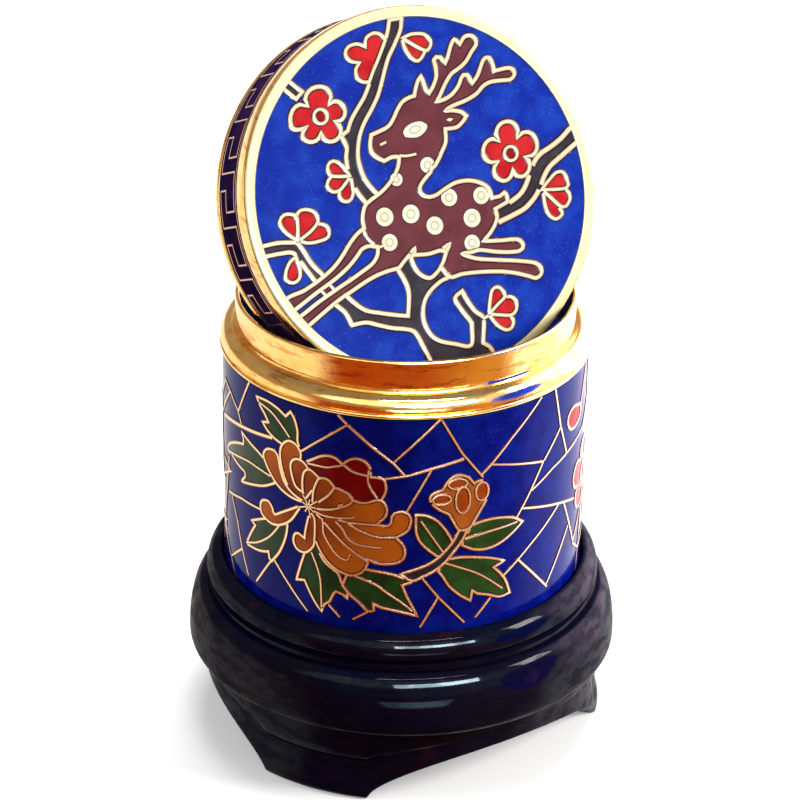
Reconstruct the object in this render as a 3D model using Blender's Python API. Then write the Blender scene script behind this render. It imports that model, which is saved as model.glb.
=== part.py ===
"""A round cloisonne enamel box with a gilt collar, on a turned and lacquered wooden stand.

The lid is off and stands on edge in the mouth, leaning back, with its picture face to the front.
The ground is z = 0 under the feet, the box's axis is the Z axis and the front is towards -Y.
"""
import math

import bmesh
import bpy
from mathutils import Vector

MM = 0.001
GAP = 0.3 * MM                      # air left between pieces that rest on each other

# The enamelled cup
BOX_RADIUS = 25.0 * MM
BODY_HEIGHT = 34.5 * MM
BODY_WALL = 1.6 * MM
BODY_FLOOR = 1.8 * MM
BODY_FILLET = 1.2 * MM              # inside, where the wall meets the floor

# The gilt collar: a fine bead, a rounded shoulder and the upright neck
NECK_INSET = 1.85 * MM              # how far the neck stands back from the enamel
NECK_WALL = 0.65 * MM
NECK_HEIGHT = 4.3 * MM
SHOULDER_HEIGHT = 3.1 * MM
SHOULDER_OVERHANG = 0.35 * MM       # how far the shoulder stands out over the enamel
COLLAR_BEAD = 0.75 * MM
COLLAR_GROOVE = 0.25 * MM
NECK_FOOT_STEP = 0.45 * MM          # flat between the neck and the rounded shoulder

# The lid, a shallow cap
LID_HEIGHT = 11.1 * MM
LID_TOP = 1.5 * MM
LID_FIT = 0.25 * MM                 # slip fit of the lid over the neck
LID_ROLL = 3.2 * MM                 # height of the rounded gilt edge next to the face
LID_ROLL_OVERHANG = 0.2 * MM        # how far the roll and the rear wire stand out of the enamel band
LID_EDGE_ROUND = 0.7 * MM
LID_REAR_WIRE = 1.1 * MM
BORDER_WIDTH = 1.65 * MM            # the gilt border round the enamelled picture
BORDER_RISE = 0.12 * MM             # how far the gilt border stands over the picture

# How the lid stands in the mouth
LID_LEAN = math.radians(24.3)       # the face leans back by this from upright
LID_TURN = math.radians(25.3)       # and looks this far to the right of the front

# The stand
STAND_HEIGHT = 25.0 * MM
RECESS_DEPTH = 3.5 * MM
RECESS_CLEARANCE = 0.35 * MM
TOP_RING_WIDTH = 2.25 * MM          # from the recess to the outside of the top ring
TOP_RING_HEIGHT = 3.5 * MM
NECKING_HEIGHT = 1.5 * MM           # the groove and the flat band under the top ring
NECKING_DEPTH = 0.6 * MM
FINE_LINE = 0.25 * MM               # the cut line above the bulge
BULGE_OVERHANG = 2.6 * MM           # how far the bulge stands out of the top ring
BULGE_START = 0.3 * MM              # and how far out it starts, under the fine line
BULGE_LIP = 1.0 * MM                # height of the bulge's rounded lower edge
BULGE_LIP_IN = 0.6 * MM             # and how far it comes in
APRON_INSET = 2.2 * MM              # how far the apron stands back from the bulge
APRON_HEIGHT = 11.4 * MM
APRON_CHAMFER = 0.9 * MM
APRON_WALL = 6.0 * MM
UNDERSIDE_DEPTH = 9.2 * MM

# The three feet and the arches between them
FOOT_COUNT = 3
FOOT_ANGLE = math.radians(-25.0)    # the first foot, counted from the front towards the right
FOOT_HALF_ANGLE = math.radians(16.0)
FOOT_FLARE = 0.6 * MM
FOOT_GROOVE_HEIGHT = 5.7 * MM
FOOT_GROOVE_WIDTH = 1.5 * MM
FOOT_GROOVE_DEPTH = 0.6 * MM
ARCH_HEIGHT = 7.0 * MM
ARCH_FULLNESS = 0.7                 # under 1 the arch rises steeply beside the foot

# Facets round each turned piece
FACETS = 72
SMOOTH_ANGLE = math.radians(35)
ANGLE_SLACK = math.radians(0.02)

# Heights and radii that follow
NECK_RADIUS = BOX_RADIUS - NECK_INSET
BODY_BASE = STAND_HEIGHT - RECESS_DEPTH + GAP
COLLAR_BASE = BODY_BASE + BODY_HEIGHT + GAP
RIM_HEIGHT = COLLAR_BASE + SHOULDER_HEIGHT + NECK_HEIGHT
MOUTH_RADIUS = NECK_RADIUS - NECK_WALL
LID_INNER_RADIUS = NECK_RADIUS + LID_FIT
LID_EDGE_RADIUS = BOX_RADIUS + LID_ROLL_OVERHANG
FIELD_RADIUS = LID_EDGE_RADIUS - BORDER_WIDTH
RECESS_RADIUS = BOX_RADIUS + RECESS_CLEARANCE
TOP_RING_RADIUS = RECESS_RADIUS + TOP_RING_WIDTH
BULGE_SHOULDER_RADIUS = TOP_RING_RADIUS + BULGE_START
BULGE_RADIUS = TOP_RING_RADIUS + BULGE_OVERHANG
APRON_RADIUS = BULGE_RADIUS - APRON_INSET


def arc(centre, radii, start, end, count):
    """Points on an ellipse about (r, z) centre, from one angle to another in degrees."""
    points = []
    for step in range(count + 1):
        angle = math.radians(start + (end - start) * step / count)
        points.append((centre[0] + radii[0] * math.cos(angle), centre[1] + radii[1] * math.sin(angle)))
    return points


def material(name, colour, roughness, metallic):
    """A plain finish with the piece's colour."""
    finish = bpy.data.materials.new(name)
    finish.use_nodes = True
    shader = finish.node_tree.nodes["Principled BSDF"]
    shader.inputs["Base Color"].default_value = (*colour, 1.0)
    shader.inputs["Roughness"].default_value = roughness
    shader.inputs["Metallic"].default_value = metallic
    return finish


def turned(name, profile, closed=False, shape=None):
    """A solid of revolution about Z from (radius, height) points, with an optional change of each vertex."""
    mesh = bpy.data.meshes.new(name)
    work = bmesh.new()
    ring = [work.verts.new((radius, 0.0, height)) for radius, height in profile]
    edges = [work.edges.new(pair) for pair in zip(ring, ring[1:])]
    if closed:
        edges.append(work.edges.new((ring[-1], ring[0])))
    bmesh.ops.spin(work, geom=ring + edges, cent=(0, 0, 0), axis=(0, 0, 1),
                   angle=math.tau, steps=FACETS, use_merge=False)
    bmesh.ops.remove_doubles(work, verts=work.verts[:], dist=1e-7)
    if shape:
        for vertex in work.verts:
            shape(vertex)
    bmesh.ops.recalc_face_normals(work, faces=work.faces[:])
    work.to_mesh(mesh)
    work.free()
    mesh.shade_smooth()
    mesh.set_sharp_from_angle(angle=SMOOTH_ANGLE)
    piece = bpy.data.objects.new(name, mesh)
    bpy.context.scene.collection.objects.link(piece)
    return piece


def foot_offset(angle):
    """Angle from the nearest foot's middle, for an angle counted from the front towards the right."""
    pitch = math.tau / FOOT_COUNT
    return abs((angle - FOOT_ANGLE + pitch / 2) % pitch - pitch / 2)


def arch_rise(angle):
    """Height of the apron's lower edge over the ground: none under a foot, full half way to the next."""
    half_pitch = math.pi / FOOT_COUNT
    offset = foot_offset(angle)
    if offset <= FOOT_HALF_ANGLE + ANGLE_SLACK:
        return 0.0
    across = (half_pitch - offset) / (half_pitch - FOOT_HALF_ANGLE)
    return ARCH_HEIGHT * (1 - across ** 2) ** ARCH_FULLNESS


def cut_feet(vertex):
    """Lifts the apron into its arches, and flares and grooves it over the feet."""
    radius = math.hypot(vertex.co.x, vertex.co.y)
    height = vertex.co.z
    inner_wall = APRON_RADIUS - APRON_WALL
    if height > APRON_HEIGHT or radius < inner_wall - GAP:
        return
    if radius < inner_wall + GAP and height > UNDERSIDE_DEPTH - GAP:
        return
    angle = math.atan2(vertex.co.x, -vertex.co.y)
    rise = arch_rise(angle)
    foot = 1 - rise / ARCH_HEIGHT
    if radius > inner_wall + GAP:
        down = 1 - height / APRON_HEIGHT
        out = FOOT_FLARE * foot * down ** 2
        if abs(height - FOOT_GROOVE_HEIGHT) < FOOT_GROOVE_WIDTH / 4:
            out -= FOOT_GROOVE_DEPTH * foot
        vertex.co.x *= (radius + out) / radius
        vertex.co.y *= (radius + out) / radius
    vertex.co.z = rise + height * (APRON_HEIGHT - rise) / APRON_HEIGHT


def stand_profile():
    """Half section of the stand, from the middle of the recess over the rim and down to the underside."""
    recess_floor = STAND_HEIGHT - RECESS_DEPTH
    ring_foot = STAND_HEIGHT - TOP_RING_HEIGHT
    band_foot = ring_foot - NECKING_HEIGHT
    inner_wall = APRON_RADIUS - APRON_WALL
    crest = RECESS_RADIUS + FINE_LINE
    groove_half = FOOT_GROOVE_WIDTH / 2
    points = [(0.0, recess_floor), (RECESS_RADIUS, recess_floor), (RECESS_RADIUS, STAND_HEIGHT - FINE_LINE)]
    ring_round = (TOP_RING_RADIUS - crest, TOP_RING_HEIGHT - 2 * FINE_LINE)
    points += arc((crest, STAND_HEIGHT - ring_round[1]), ring_round, 90, 0, 5)
    points += [(TOP_RING_RADIUS - NECKING_DEPTH / 2, ring_foot)]
    points += [(TOP_RING_RADIUS - NECKING_DEPTH, ring_foot - FINE_LINE)]
    points += [(TOP_RING_RADIUS, ring_foot - 2 * FINE_LINE)]
    points += [(TOP_RING_RADIUS, band_foot + FINE_LINE), (TOP_RING_RADIUS - FINE_LINE, band_foot)]
    bulge_round = (BULGE_RADIUS - BULGE_SHOULDER_RADIUS, band_foot - APRON_HEIGHT - BULGE_LIP)
    points += arc((BULGE_SHOULDER_RADIUS, APRON_HEIGHT + BULGE_LIP), bulge_round, 88, 0, 5)
    lip_round = (BULGE_LIP_IN, BULGE_LIP)
    points += arc((BULGE_RADIUS - lip_round[0], APRON_HEIGHT + BULGE_LIP), lip_round, 0, -80, 2)[1:]
    points += [(APRON_RADIUS + FINE_LINE, APRON_HEIGHT), (APRON_RADIUS, APRON_HEIGHT - FINE_LINE)]
    points += [(APRON_RADIUS, FOOT_GROOVE_HEIGHT + groove_half), (APRON_RADIUS, FOOT_GROOVE_HEIGHT)]
    points += [(APRON_RADIUS, FOOT_GROOVE_HEIGHT - groove_half), (APRON_RADIUS, APRON_CHAMFER)]
    points += [(APRON_RADIUS - APRON_CHAMFER, 0.0), (inner_wall, 0.0)]
    points += [(inner_wall, UNDERSIDE_DEPTH), (0.0, UNDERSIDE_DEPTH)]
    return points


def make_stand():
    """The turned stand: recess, top ring, bulge, and an apron cut into three feet."""
    piece = turned("wooden_stand", stand_profile(), shape=cut_feet)
    piece.data.materials.append(material("black lacquer", (0.012, 0.010, 0.014), 0.16, 0.0))
    return piece


def make_body():
    """The enamelled cup, hollow and open at the top."""
    inner = BOX_RADIUS - BODY_WALL
    edge = GAP
    profile = [(0.0, 0.0), (BOX_RADIUS - edge, 0.0), (BOX_RADIUS, edge), (BOX_RADIUS, BODY_HEIGHT)]
    profile += [(inner, BODY_HEIGHT)]
    corner = (inner - BODY_FILLET, BODY_FLOOR + BODY_FILLET)
    profile += arc(corner, (BODY_FILLET, BODY_FILLET), 0, -90, 3)
    profile += [(0.0, BODY_FLOOR)]
    piece = turned("box_body", profile)
    piece.location.z = BODY_BASE
    piece.data.materials.append(material("cobalt enamel", (0.014, 0.028, 0.36), 0.2, 0.0))
    return piece


def make_collar():
    """The gilt collar on the cup's edge: bead, groove, rounded shoulder and neck."""
    out = BOX_RADIUS + SHOULDER_OVERHANG
    bead = COLLAR_BEAD / 2
    profile = [(MOUTH_RADIUS, 0.0)]
    profile += arc((out - bead, bead), (bead, bead), -90, 90, 3)
    profile += [(out - bead - COLLAR_GROOVE / 2, COLLAR_BEAD + COLLAR_GROOVE / 2)]
    shoulder_foot = COLLAR_BEAD + COLLAR_GROOVE
    shoulder_in = NECK_RADIUS + NECK_FOOT_STEP
    shoulder = (out - COLLAR_GROOVE / 2 - shoulder_in, SHOULDER_HEIGHT - shoulder_foot)
    profile += arc((shoulder_in, shoulder_foot), shoulder, 0, 90, 4)
    profile += [(NECK_RADIUS + NECK_FOOT_STEP / 3, SHOULDER_HEIGHT - COLLAR_GROOVE / 2)]
    profile += [(NECK_RADIUS, SHOULDER_HEIGHT + COLLAR_GROOVE)]
    rim = NECK_WALL / 2
    top = SHOULDER_HEIGHT + NECK_HEIGHT - rim
    profile += arc((NECK_RADIUS - rim, top), (rim, rim), 0, 180, 3)
    piece = turned("neck_ring", profile, closed=True)
    piece.location.z = COLLAR_BASE
    piece.data.materials.append(material("gilt", (0.83, 0.53, 0.17), 0.2, 1.0))
    return piece


def lid_seat():
    """Where the lid wedges in the mouth, for the middle of its open edge: how far forward of the axis
    along the way that it faces, and how far over the rim.

    The front and the open edge of the lid are circles of one radius. Where each crosses the rim's level,
    the ends of its chord are to lie on the mouth's circle less a gap. Of the two circles, down is the
    distance in the leaning plane from the middle to the chord, and ahead is how far forward the chord is.
    """
    free = MOUTH_RADIUS - GAP
    spare = LID_EDGE_RADIUS ** 2 - free ** 2
    slant = math.cos(LID_LEAN)
    down = (math.sqrt(LID_HEIGHT ** 2 + 4 * spare) / slant - LID_HEIGHT * math.tan(LID_LEAN)) / 2
    ahead = down * math.sin(LID_LEAN) - LID_HEIGHT * slant / 2
    over_rim = down * slant
    return ahead - over_rim * math.tan(LID_LEAN), over_rim


def make_lid():
    """The cap: picture face with a gilt border, rounded edge, enamel band and rear wire, hollow behind."""
    edge = LID_EDGE_RADIUS
    top = LID_HEIGHT
    field = top - BORDER_RISE
    roll_foot = top - LID_ROLL
    roll_side = (LID_ROLL_OVERHANG, (LID_ROLL - LID_EDGE_ROUND) / 2)
    wire = LID_ROLL_OVERHANG
    profile = [(0.0, field), (FIELD_RADIUS, field), (FIELD_RADIUS + BORDER_RISE, top)]
    profile += arc((edge - LID_EDGE_ROUND, top - LID_EDGE_ROUND), (LID_EDGE_ROUND,) * 2, 90, 0, 3)
    profile += [(edge, roll_foot + roll_side[1]), (BOX_RADIUS, roll_foot)]
    profile += [(BOX_RADIUS, LID_REAR_WIRE)]
    profile += [(edge, LID_REAR_WIRE - wire), (edge, wire), (edge - wire, 0.0)]
    profile += [(LID_INNER_RADIUS, 0.0), (LID_INNER_RADIUS, top - LID_TOP), (0.0, top - LID_TOP)]
    piece = turned("lid", profile)
    forward, over_rim = lid_seat()
    facing = Vector((math.sin(LID_TURN), -math.cos(LID_TURN), 0.0))
    piece.location = facing * forward + Vector((0.0, 0.0, RIM_HEIGHT + over_rim))
    piece.rotation_euler = (math.pi / 2 - LID_LEAN, 0.0, LID_TURN)
    piece.data.materials.append(material("lid enamel", (0.016, 0.045, 0.50), 0.2, 0.0))
    return piece


def clear_scene():
    """Takes out every object that the new file came with."""
    for leftover in list(bpy.data.objects):
        bpy.data.objects.remove(leftover)


clear_scene()
make_stand()
make_body()
make_collar()
make_lid()
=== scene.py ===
"""The looks of the cloisonne box: enamels, wires, gilt and lacquer, with its floor, lights and camera."""
import math

import bmesh
import bpy
from mathutils import Matrix, Vector
from mathutils.geometry import delaunay_2d_cdt


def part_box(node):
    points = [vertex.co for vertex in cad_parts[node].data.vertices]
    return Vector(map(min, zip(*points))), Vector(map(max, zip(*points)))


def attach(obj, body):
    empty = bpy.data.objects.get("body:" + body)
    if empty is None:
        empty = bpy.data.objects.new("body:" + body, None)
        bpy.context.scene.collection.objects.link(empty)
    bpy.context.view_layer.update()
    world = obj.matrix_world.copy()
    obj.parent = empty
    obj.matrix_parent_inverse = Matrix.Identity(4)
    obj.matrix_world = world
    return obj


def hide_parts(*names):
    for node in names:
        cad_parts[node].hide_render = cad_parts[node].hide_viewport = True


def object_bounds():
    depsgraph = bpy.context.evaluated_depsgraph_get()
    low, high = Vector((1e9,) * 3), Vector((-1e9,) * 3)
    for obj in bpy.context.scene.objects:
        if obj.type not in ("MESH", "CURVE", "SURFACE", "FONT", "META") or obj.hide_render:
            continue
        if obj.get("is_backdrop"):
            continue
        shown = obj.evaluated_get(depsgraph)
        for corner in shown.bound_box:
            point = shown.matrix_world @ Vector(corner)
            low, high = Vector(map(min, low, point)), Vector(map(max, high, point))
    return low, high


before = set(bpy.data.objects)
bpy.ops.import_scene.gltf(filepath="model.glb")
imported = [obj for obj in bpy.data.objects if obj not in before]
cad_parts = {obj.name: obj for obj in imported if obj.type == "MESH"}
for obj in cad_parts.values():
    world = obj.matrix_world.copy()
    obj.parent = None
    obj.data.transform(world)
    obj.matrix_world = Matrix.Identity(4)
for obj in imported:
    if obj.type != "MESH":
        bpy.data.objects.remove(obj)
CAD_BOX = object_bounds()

# Sizes are in millimetres, as measured on the CAD nodes; meshes are brought to metres when they are made
MM = 0.001
STEPS = 240                          # facets round a turned piece
CREASE = math.radians(40)            # edges sharper than this aren't shaded smooth
LONG_RUN = 1.3                       # a straight run of a profile longer than this gets a point near each end
SHADE_STOP = 0.06                    # and this is how near
TINY = 1e-6


def node_box(name):
    """Lowest and highest corner of a CAD node, in millimetres."""
    low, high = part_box(name)
    return low / MM, high / MM


STAND_TOP = node_box("wooden_stand")[1].z
CUP_LOW, CUP_HIGH = node_box("box_body")
COLLAR_LOW, COLLAR_HIGH = node_box("neck_ring")
CUP_RADIUS = CUP_HIGH.x
RIM_HEIGHT = COLLAR_HIGH.z

# Cup and collar
CUP_WALL = 1.6
CUP_FLOOR = 1.8
CUP_FILLET = 1.2
CUP_EDGE = 0.3
NECK_INSET = 1.85
NECK_WALL = 0.65
SHOULDER_HEIGHT = 3.1
SHOULDER_OVERHANG = 0.35
COLLAR_BEAD = 0.75
COLLAR_GROOVE = 0.25
NECK_FOOT_STEP = 0.45
NECK_RADIUS = CUP_RADIUS - NECK_INSET
MOUTH_RADIUS = NECK_RADIUS - NECK_WALL

# Lid
LID_HEIGHT = 11.1
LID_TOP = 1.5
LID_FIT = 0.25
LID_ROLL = 3.2
LID_OVERHANG = 0.2
LID_EDGE_ROUND = 0.7
LID_REAR_WIRE = 1.1
BORDER_WIDTH = 1.65
BORDER_RISE = 0.12
BORDER_LINE = 0.08                   # depth of the cut line round the border
BORDER_END = 46                      # degrees up the rounded edge at which the border ends
BORDER_CUT = 4                       # degrees that each side and the floor of that cut line take up
BORDER_STEP = (0.04, 0.02)           # how far out and how far down the step to the border has its corner
LID_LEAN = math.radians(24.3)
LID_TURN = math.radians(25.3)
LID_EDGE = CUP_RADIUS + LID_OVERHANG
FIELD_RADIUS = LID_EDGE - BORDER_WIDTH
FIELD_HEIGHT = LID_HEIGHT - BORDER_RISE

# Stand
RECESS_DEPTH = 3.5
RECESS_CLEARANCE = 0.35
TOP_RING_WIDTH = 2.25
TOP_RING_HEIGHT = 3.5
NECKING_HEIGHT = 1.5
NECKING_DEPTH = 0.6
FINE_LINE = 0.25
BULGE_OVERHANG = 2.6
BULGE_START = 0.3
BULGE_LIP = 1.0
BULGE_LIP_IN = 0.6
APRON_INSET = 2.2
APRON_HEIGHT = 11.4
APRON_CHAMFER = 0.9
APRON_WALL = 6.0
APRON_DROPS = (1.2, 2.4, 3.6)        # rows of points above the feet's groove, under the apron's top
APRON_ROWS = (3.6, 2.4, 1.5)         # and under the groove, over the ground
UNDERSIDE_DEPTH = 9.2
FOOT_COUNT = 3
FOOT_ANGLE = math.radians(-25.0)
FOOT_HALF_ANGLE = math.radians(16.0)
FOOT_FLARE = 0.6
FOOT_GROOVE_HEIGHT = 5.7
FOOT_GROOVE_WIDTH = 1.5
FOOT_GROOVE_DEPTH = 0.6
ARCH_HEIGHT = 7.0
ARCH_FULLNESS = 0.7
RECESS_RADIUS = CUP_RADIUS + RECESS_CLEARANCE
TOP_RING_RADIUS = RECESS_RADIUS + TOP_RING_WIDTH
BULGE_RADIUS = TOP_RING_RADIUS + BULGE_OVERHANG
BULGE_SHOULDER_RADIUS = TOP_RING_RADIUS + BULGE_START
APRON_RADIUS = BULGE_RADIUS - APRON_INSET

# Wires: their widths, and their edge, crest and foot over and under the enamel's ground
LID_WIRE = 0.90
CUP_WIRE = 0.60
CRACK_WIRE = 0.48
WIRE_EDGE = 0.055
WIRE_CREST = 0.105
WIRE_DEPTH = 0.15
WIRE_SECTION = (                     # place across the width, height, and the value that the looks read
    (-0.5, -WIRE_DEPTH, 0.0), (-0.5, WIRE_EDGE, 0.0), (-0.27, WIRE_CREST, 0.23),
    (0.27, WIRE_CREST, 0.77), (0.5, WIRE_EDGE, 1.0), (0.5, -WIRE_DEPTH, 1.0),
)
MITRE_LIMIT = 0.35                   # keeps a wire from growing too broad at a sharp corner
TOUCH = 0.5                          # how near an earlier wire, in widths, a wire breaks off
MERGE = 0.28                         # how far, in widths, it then runs on to meet it
END_HALVINGS = 5                     # how often the place where a wire breaks off is narrowed down
LAID_GRID = 0.6                      # squares in which the wires laid so far are looked up

# Enamel cells, and the spacing of points
CELL_STEP = 0.012                    # height from one rank of cells to the next
CELL_GRID = 1.3                      # spacing of the points within a cell on the cup
CELL_SPACING = 0.05                  # least spacing of the points of a cell's outline
WIRE_SPACING = 0.03                  # and of a wire's path
CURVE_STEP = 0.45                    # spacing along a smooth curve
SHADE_REACH = 10.0                   # distance over which the shading of a petal runs
MEETING = 1e-4                       # points of a cell nearer than this are one
FIELD_OVERLAP = 0.05                 # how far wires may pass the edge of the lid's picture
CELL_UNDER_RIM = 0.02                # how far under the cup's edge cells end

# The photograph's camera: pixels of an 800 x 800 frame, and millimetres from the middle of the neck's rim
FOCAL_PIXELS = 2957.9
FRAME_PIXELS = 800
EYE_DISTANCE = 401.03
EYE_HEIGHT = math.radians(24.113)
EYE_PITCH = math.radians(-2.158)
EYE_YAW = math.radians(-0.086)
EYE_ROLL = math.radians(0.804)
SENSOR_WIDTH = 36.0
CUP_SHIFT = 2.0                      # pixels that the photograph's cup stands to the left of the model's axis


def swung(first, second, angle):
    """Two directions at right angles, turned in their plane."""
    cos, sin = math.cos(angle), math.sin(angle)
    return first * cos + second * sin, second * cos - first * sin


def eye_axes():
    """The camera's right, up and forward directions, turned by its pitch, yaw and roll."""
    forward = Vector((0.0, math.cos(EYE_HEIGHT), -math.sin(EYE_HEIGHT)))
    right = Vector((1.0, 0.0, 0.0))
    forward, up = swung(forward, right.cross(forward), EYE_PITCH)
    forward, right = swung(forward, right, EYE_YAW)
    return *swung(right, up, EYE_ROLL), forward


RIGHT, UP, FORWARD = eye_axes()
EYE = Vector((0.0, -math.cos(EYE_HEIGHT), math.sin(EYE_HEIGHT))) * EYE_DISTANCE
EYE += Vector((0.0, 0.0, RIM_HEIGHT))


def sight(x, y):
    """Direction from the camera through a pixel of the photograph."""
    half = FRAME_PIXELS / 2
    return FORWARD + RIGHT * ((x - half) / FOCAL_PIXELS) - UP * ((y - half) / FOCAL_PIXELS)


def lid_place():
    """The lid's own frame, read off its CAD node: x and y over the face, z from the open edge to the face."""
    turn = Matrix.Rotation(LID_TURN, 3, "Z") @ Matrix.Rotation(math.pi / 2 - LID_LEAN, 3, "X")
    local = [turn.transposed() @ vertex.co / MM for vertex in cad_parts["lid"].data.vertices]
    middle = [(min(p[k] for p in local) + max(p[k] for p in local)) / 2 for k in (0, 1)]
    open_edge = min(p.z for p in local)
    return Matrix.Translation(turn @ Vector((*middle, open_edge))) @ turn.to_4x4()


LID = lid_place()
LID_BACK = LID.inverted()


def face_pixel(x, y):
    """A pixel of the photograph as a point on the lid's picture."""
    eye = LID_BACK @ EYE
    ray = LID_BACK.to_3x3() @ sight(x, y)
    hit = eye + ray * ((FIELD_HEIGHT - eye.z) / ray.z)
    return Vector((hit.x, hit.y))


def cup_pixel(x, y):
    """A pixel of the photograph as a point on the cup: distance round from the front, and height."""
    ray = sight(x + CUP_SHIFT, y)
    square = ray.x ** 2 + ray.y ** 2
    along = EYE.x * ray.x + EYE.y * ray.y
    spare = along ** 2 - square * (EYE.x ** 2 + EYE.y ** 2 - CUP_RADIUS ** 2)
    hit = EYE + ray * ((-along - math.sqrt(max(spare, 0.0))) / square)
    return Vector((CUP_RADIUS * math.atan2(hit.x, -hit.y), hit.z))


def on_face(point, height):
    """A point of the lid's picture, at a height over its ground, in space."""
    return LID @ Vector((point.x, point.y, FIELD_HEIGHT + height))


def on_cup(point, height):
    """A point of the cup's picture, at a height over its ground, in space."""
    angle = point.x / CUP_RADIUS
    radius = CUP_RADIUS + height
    return Vector((radius * math.sin(angle), -radius * math.cos(angle), point.y))


def on_band(point, height):
    """A point of the band round the lid: distance round, and height from the open edge."""
    angle = point.x / CUP_RADIUS
    radius = CUP_RADIUS + height
    return Vector((radius * math.cos(angle), radius * math.sin(angle), point.y))


def in_face(point):
    return point.length < FIELD_RADIUS + FIELD_OVERLAP


def in_cup(point):
    return CUP_LOW.z + CUP_EDGE < point.y < CUP_HIGH.z + CUP_EDGE / 3


def to_face(point):
    """The point, brought in to the edge of the lid's picture where it lies outside."""
    return point * min(1.0, FIELD_RADIUS / max(point.length, TINY))


def to_cup(point):
    """The point, brought in to the cup's height where it lies outside."""
    return Vector((point.x, min(max(point.y, CUP_LOW.z + CUP_EDGE), CUP_HIGH.z - CELL_UNDER_RIM)))


class Surface:
    """A surface that carries a picture: how a pixel, a point and a point outside it are brought onto it."""

    def __init__(self, pixel, place, inside, limit, grid):
        self.pixel, self.place, self.inside, self.limit, self.grid = pixel, place, inside, limit, grid


FACE = Surface(face_pixel, on_face, in_face, to_face, None)
CUP = Surface(cup_pixel, on_cup, in_cup, to_cup, CELL_GRID)


def polar(angle, radius=1.0):
    """A point of a picture at an angle and a distance from its origin."""
    return Vector((math.cos(angle), math.sin(angle))) * radius


def ring(centre, radius, count=20):
    """A circle on a picture."""
    return [centre + polar(math.tau * k / count, radius) for k in range(count)]


def direction(azimuth, height):
    """Where an azimuth, counted from the front to the right, and a height point, both in degrees."""
    turn, lift = math.radians(azimuth), math.radians(height)
    return Vector((math.sin(turn) * math.cos(lift), -math.cos(turn) * math.cos(lift), math.sin(lift)))


def set_out(name, data):
    """A new object in the scene."""
    thing = bpy.data.objects.new(name, data)
    bpy.context.scene.collection.objects.link(thing)
    return thing


def face_outward(mesh):
    """Turns all faces of a closed mesh outward."""
    work = bmesh.new()
    work.from_mesh(mesh)
    bmesh.ops.recalc_face_normals(work, faces=work.faces[:])
    work.to_mesh(mesh)
    work.free()


def within(point, outline):
    """Whether a point lies inside an outline."""
    inside = False
    for a, b in zip(outline, outline[1:] + outline[:1]):
        if (a.y > point.y) != (b.y > point.y):
            if point.x < a.x + (point.y - a.y) / (b.y - a.y) * (b.x - a.x):
                inside = not inside
    return inside


class Batch:
    """Faces that become one piece: points in space, faces, their finish, and a value at each point.

    On a picture it also keeps where wires already lie, and the outlines of the figures in front.
    """

    def __init__(self):
        self.points, self.faces, self.finish, self.across = [], [], [], []
        self.laid, self.covers = {}, []

    def add(self, points, faces, finish=0, across=None):
        start = len(self.points)
        self.points += points
        self.faces += [[start + index for index in face] for face in faces]
        self.finish += finish if isinstance(finish, list) else [finish] * len(faces)
        self.across += across or [0.0] * len(points)

    def mark(self, path):
        """Keeps a wire's path, at half the spacing of its points."""
        for a, b in zip(path, path[1:]):
            for point in (a, (a + b) / 2, b):
                self.laid.setdefault((int(point.x / LAID_GRID), int(point.y / LAID_GRID)), []).append(point)

    def cover(self, outline):
        """Keeps a figure's outline: wires laid later run behind it."""
        self.covers.append((min(p.x for p in outline), max(p.x for p in outline), outline))

    def clear(self, point, touch):
        """Whether a point is clear of the wires laid so far and of the figures in front."""
        column, row = int(point.x / LAID_GRID), int(point.y / LAID_GRID)
        for i in (column - 1, column, column + 1):
            for j in (row - 1, row, row + 1):
                if any((point - other).length < touch for other in self.laid.get((i, j), ())):
                    return False
        return not any(low < point.x < high and within(point, outline) for low, high, outline in self.covers)

    def mesh(self, name):
        """The batch as a mesh in metres."""
        mesh = bpy.data.meshes.new(name)
        mesh.from_pydata([point * MM for point in self.points], [], self.faces)
        mesh.attributes.new("across", "FLOAT", "POINT").data.foreach_set("value", self.across)
        return mesh

    def piece(self, name, finishes, slot, replaces=()):
        """Sets the batch out as a piece at the origin."""
        mesh = self.mesh(name)
        for finish in finishes:
            mesh.materials.append(finish)
        mesh.polygons.foreach_set("material_index", self.finish)
        face_outward(mesh)
        mesh.shade_smooth()
        mesh.set_sharp_from_angle(angle=CREASE)
        hand_over(set_out(name, mesh), replaces)


def hand_over(piece, replaces=()):
    """Ties a finished piece to the body and the CAD nodes that it stands for."""
    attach(piece, "root")
    if replaces:
        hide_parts(*replaces)


def arc(centre, radii, start, end, count):
    """Points on an ellipse about (r, z) centre, from one angle to another in degrees."""
    angles = [math.radians(start + (end - start) * step / count) for step in range(count + 1)]
    return [(centre[0] + radii[0] * math.cos(a), centre[1] + radii[1] * math.sin(a)) for a in angles]


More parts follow.
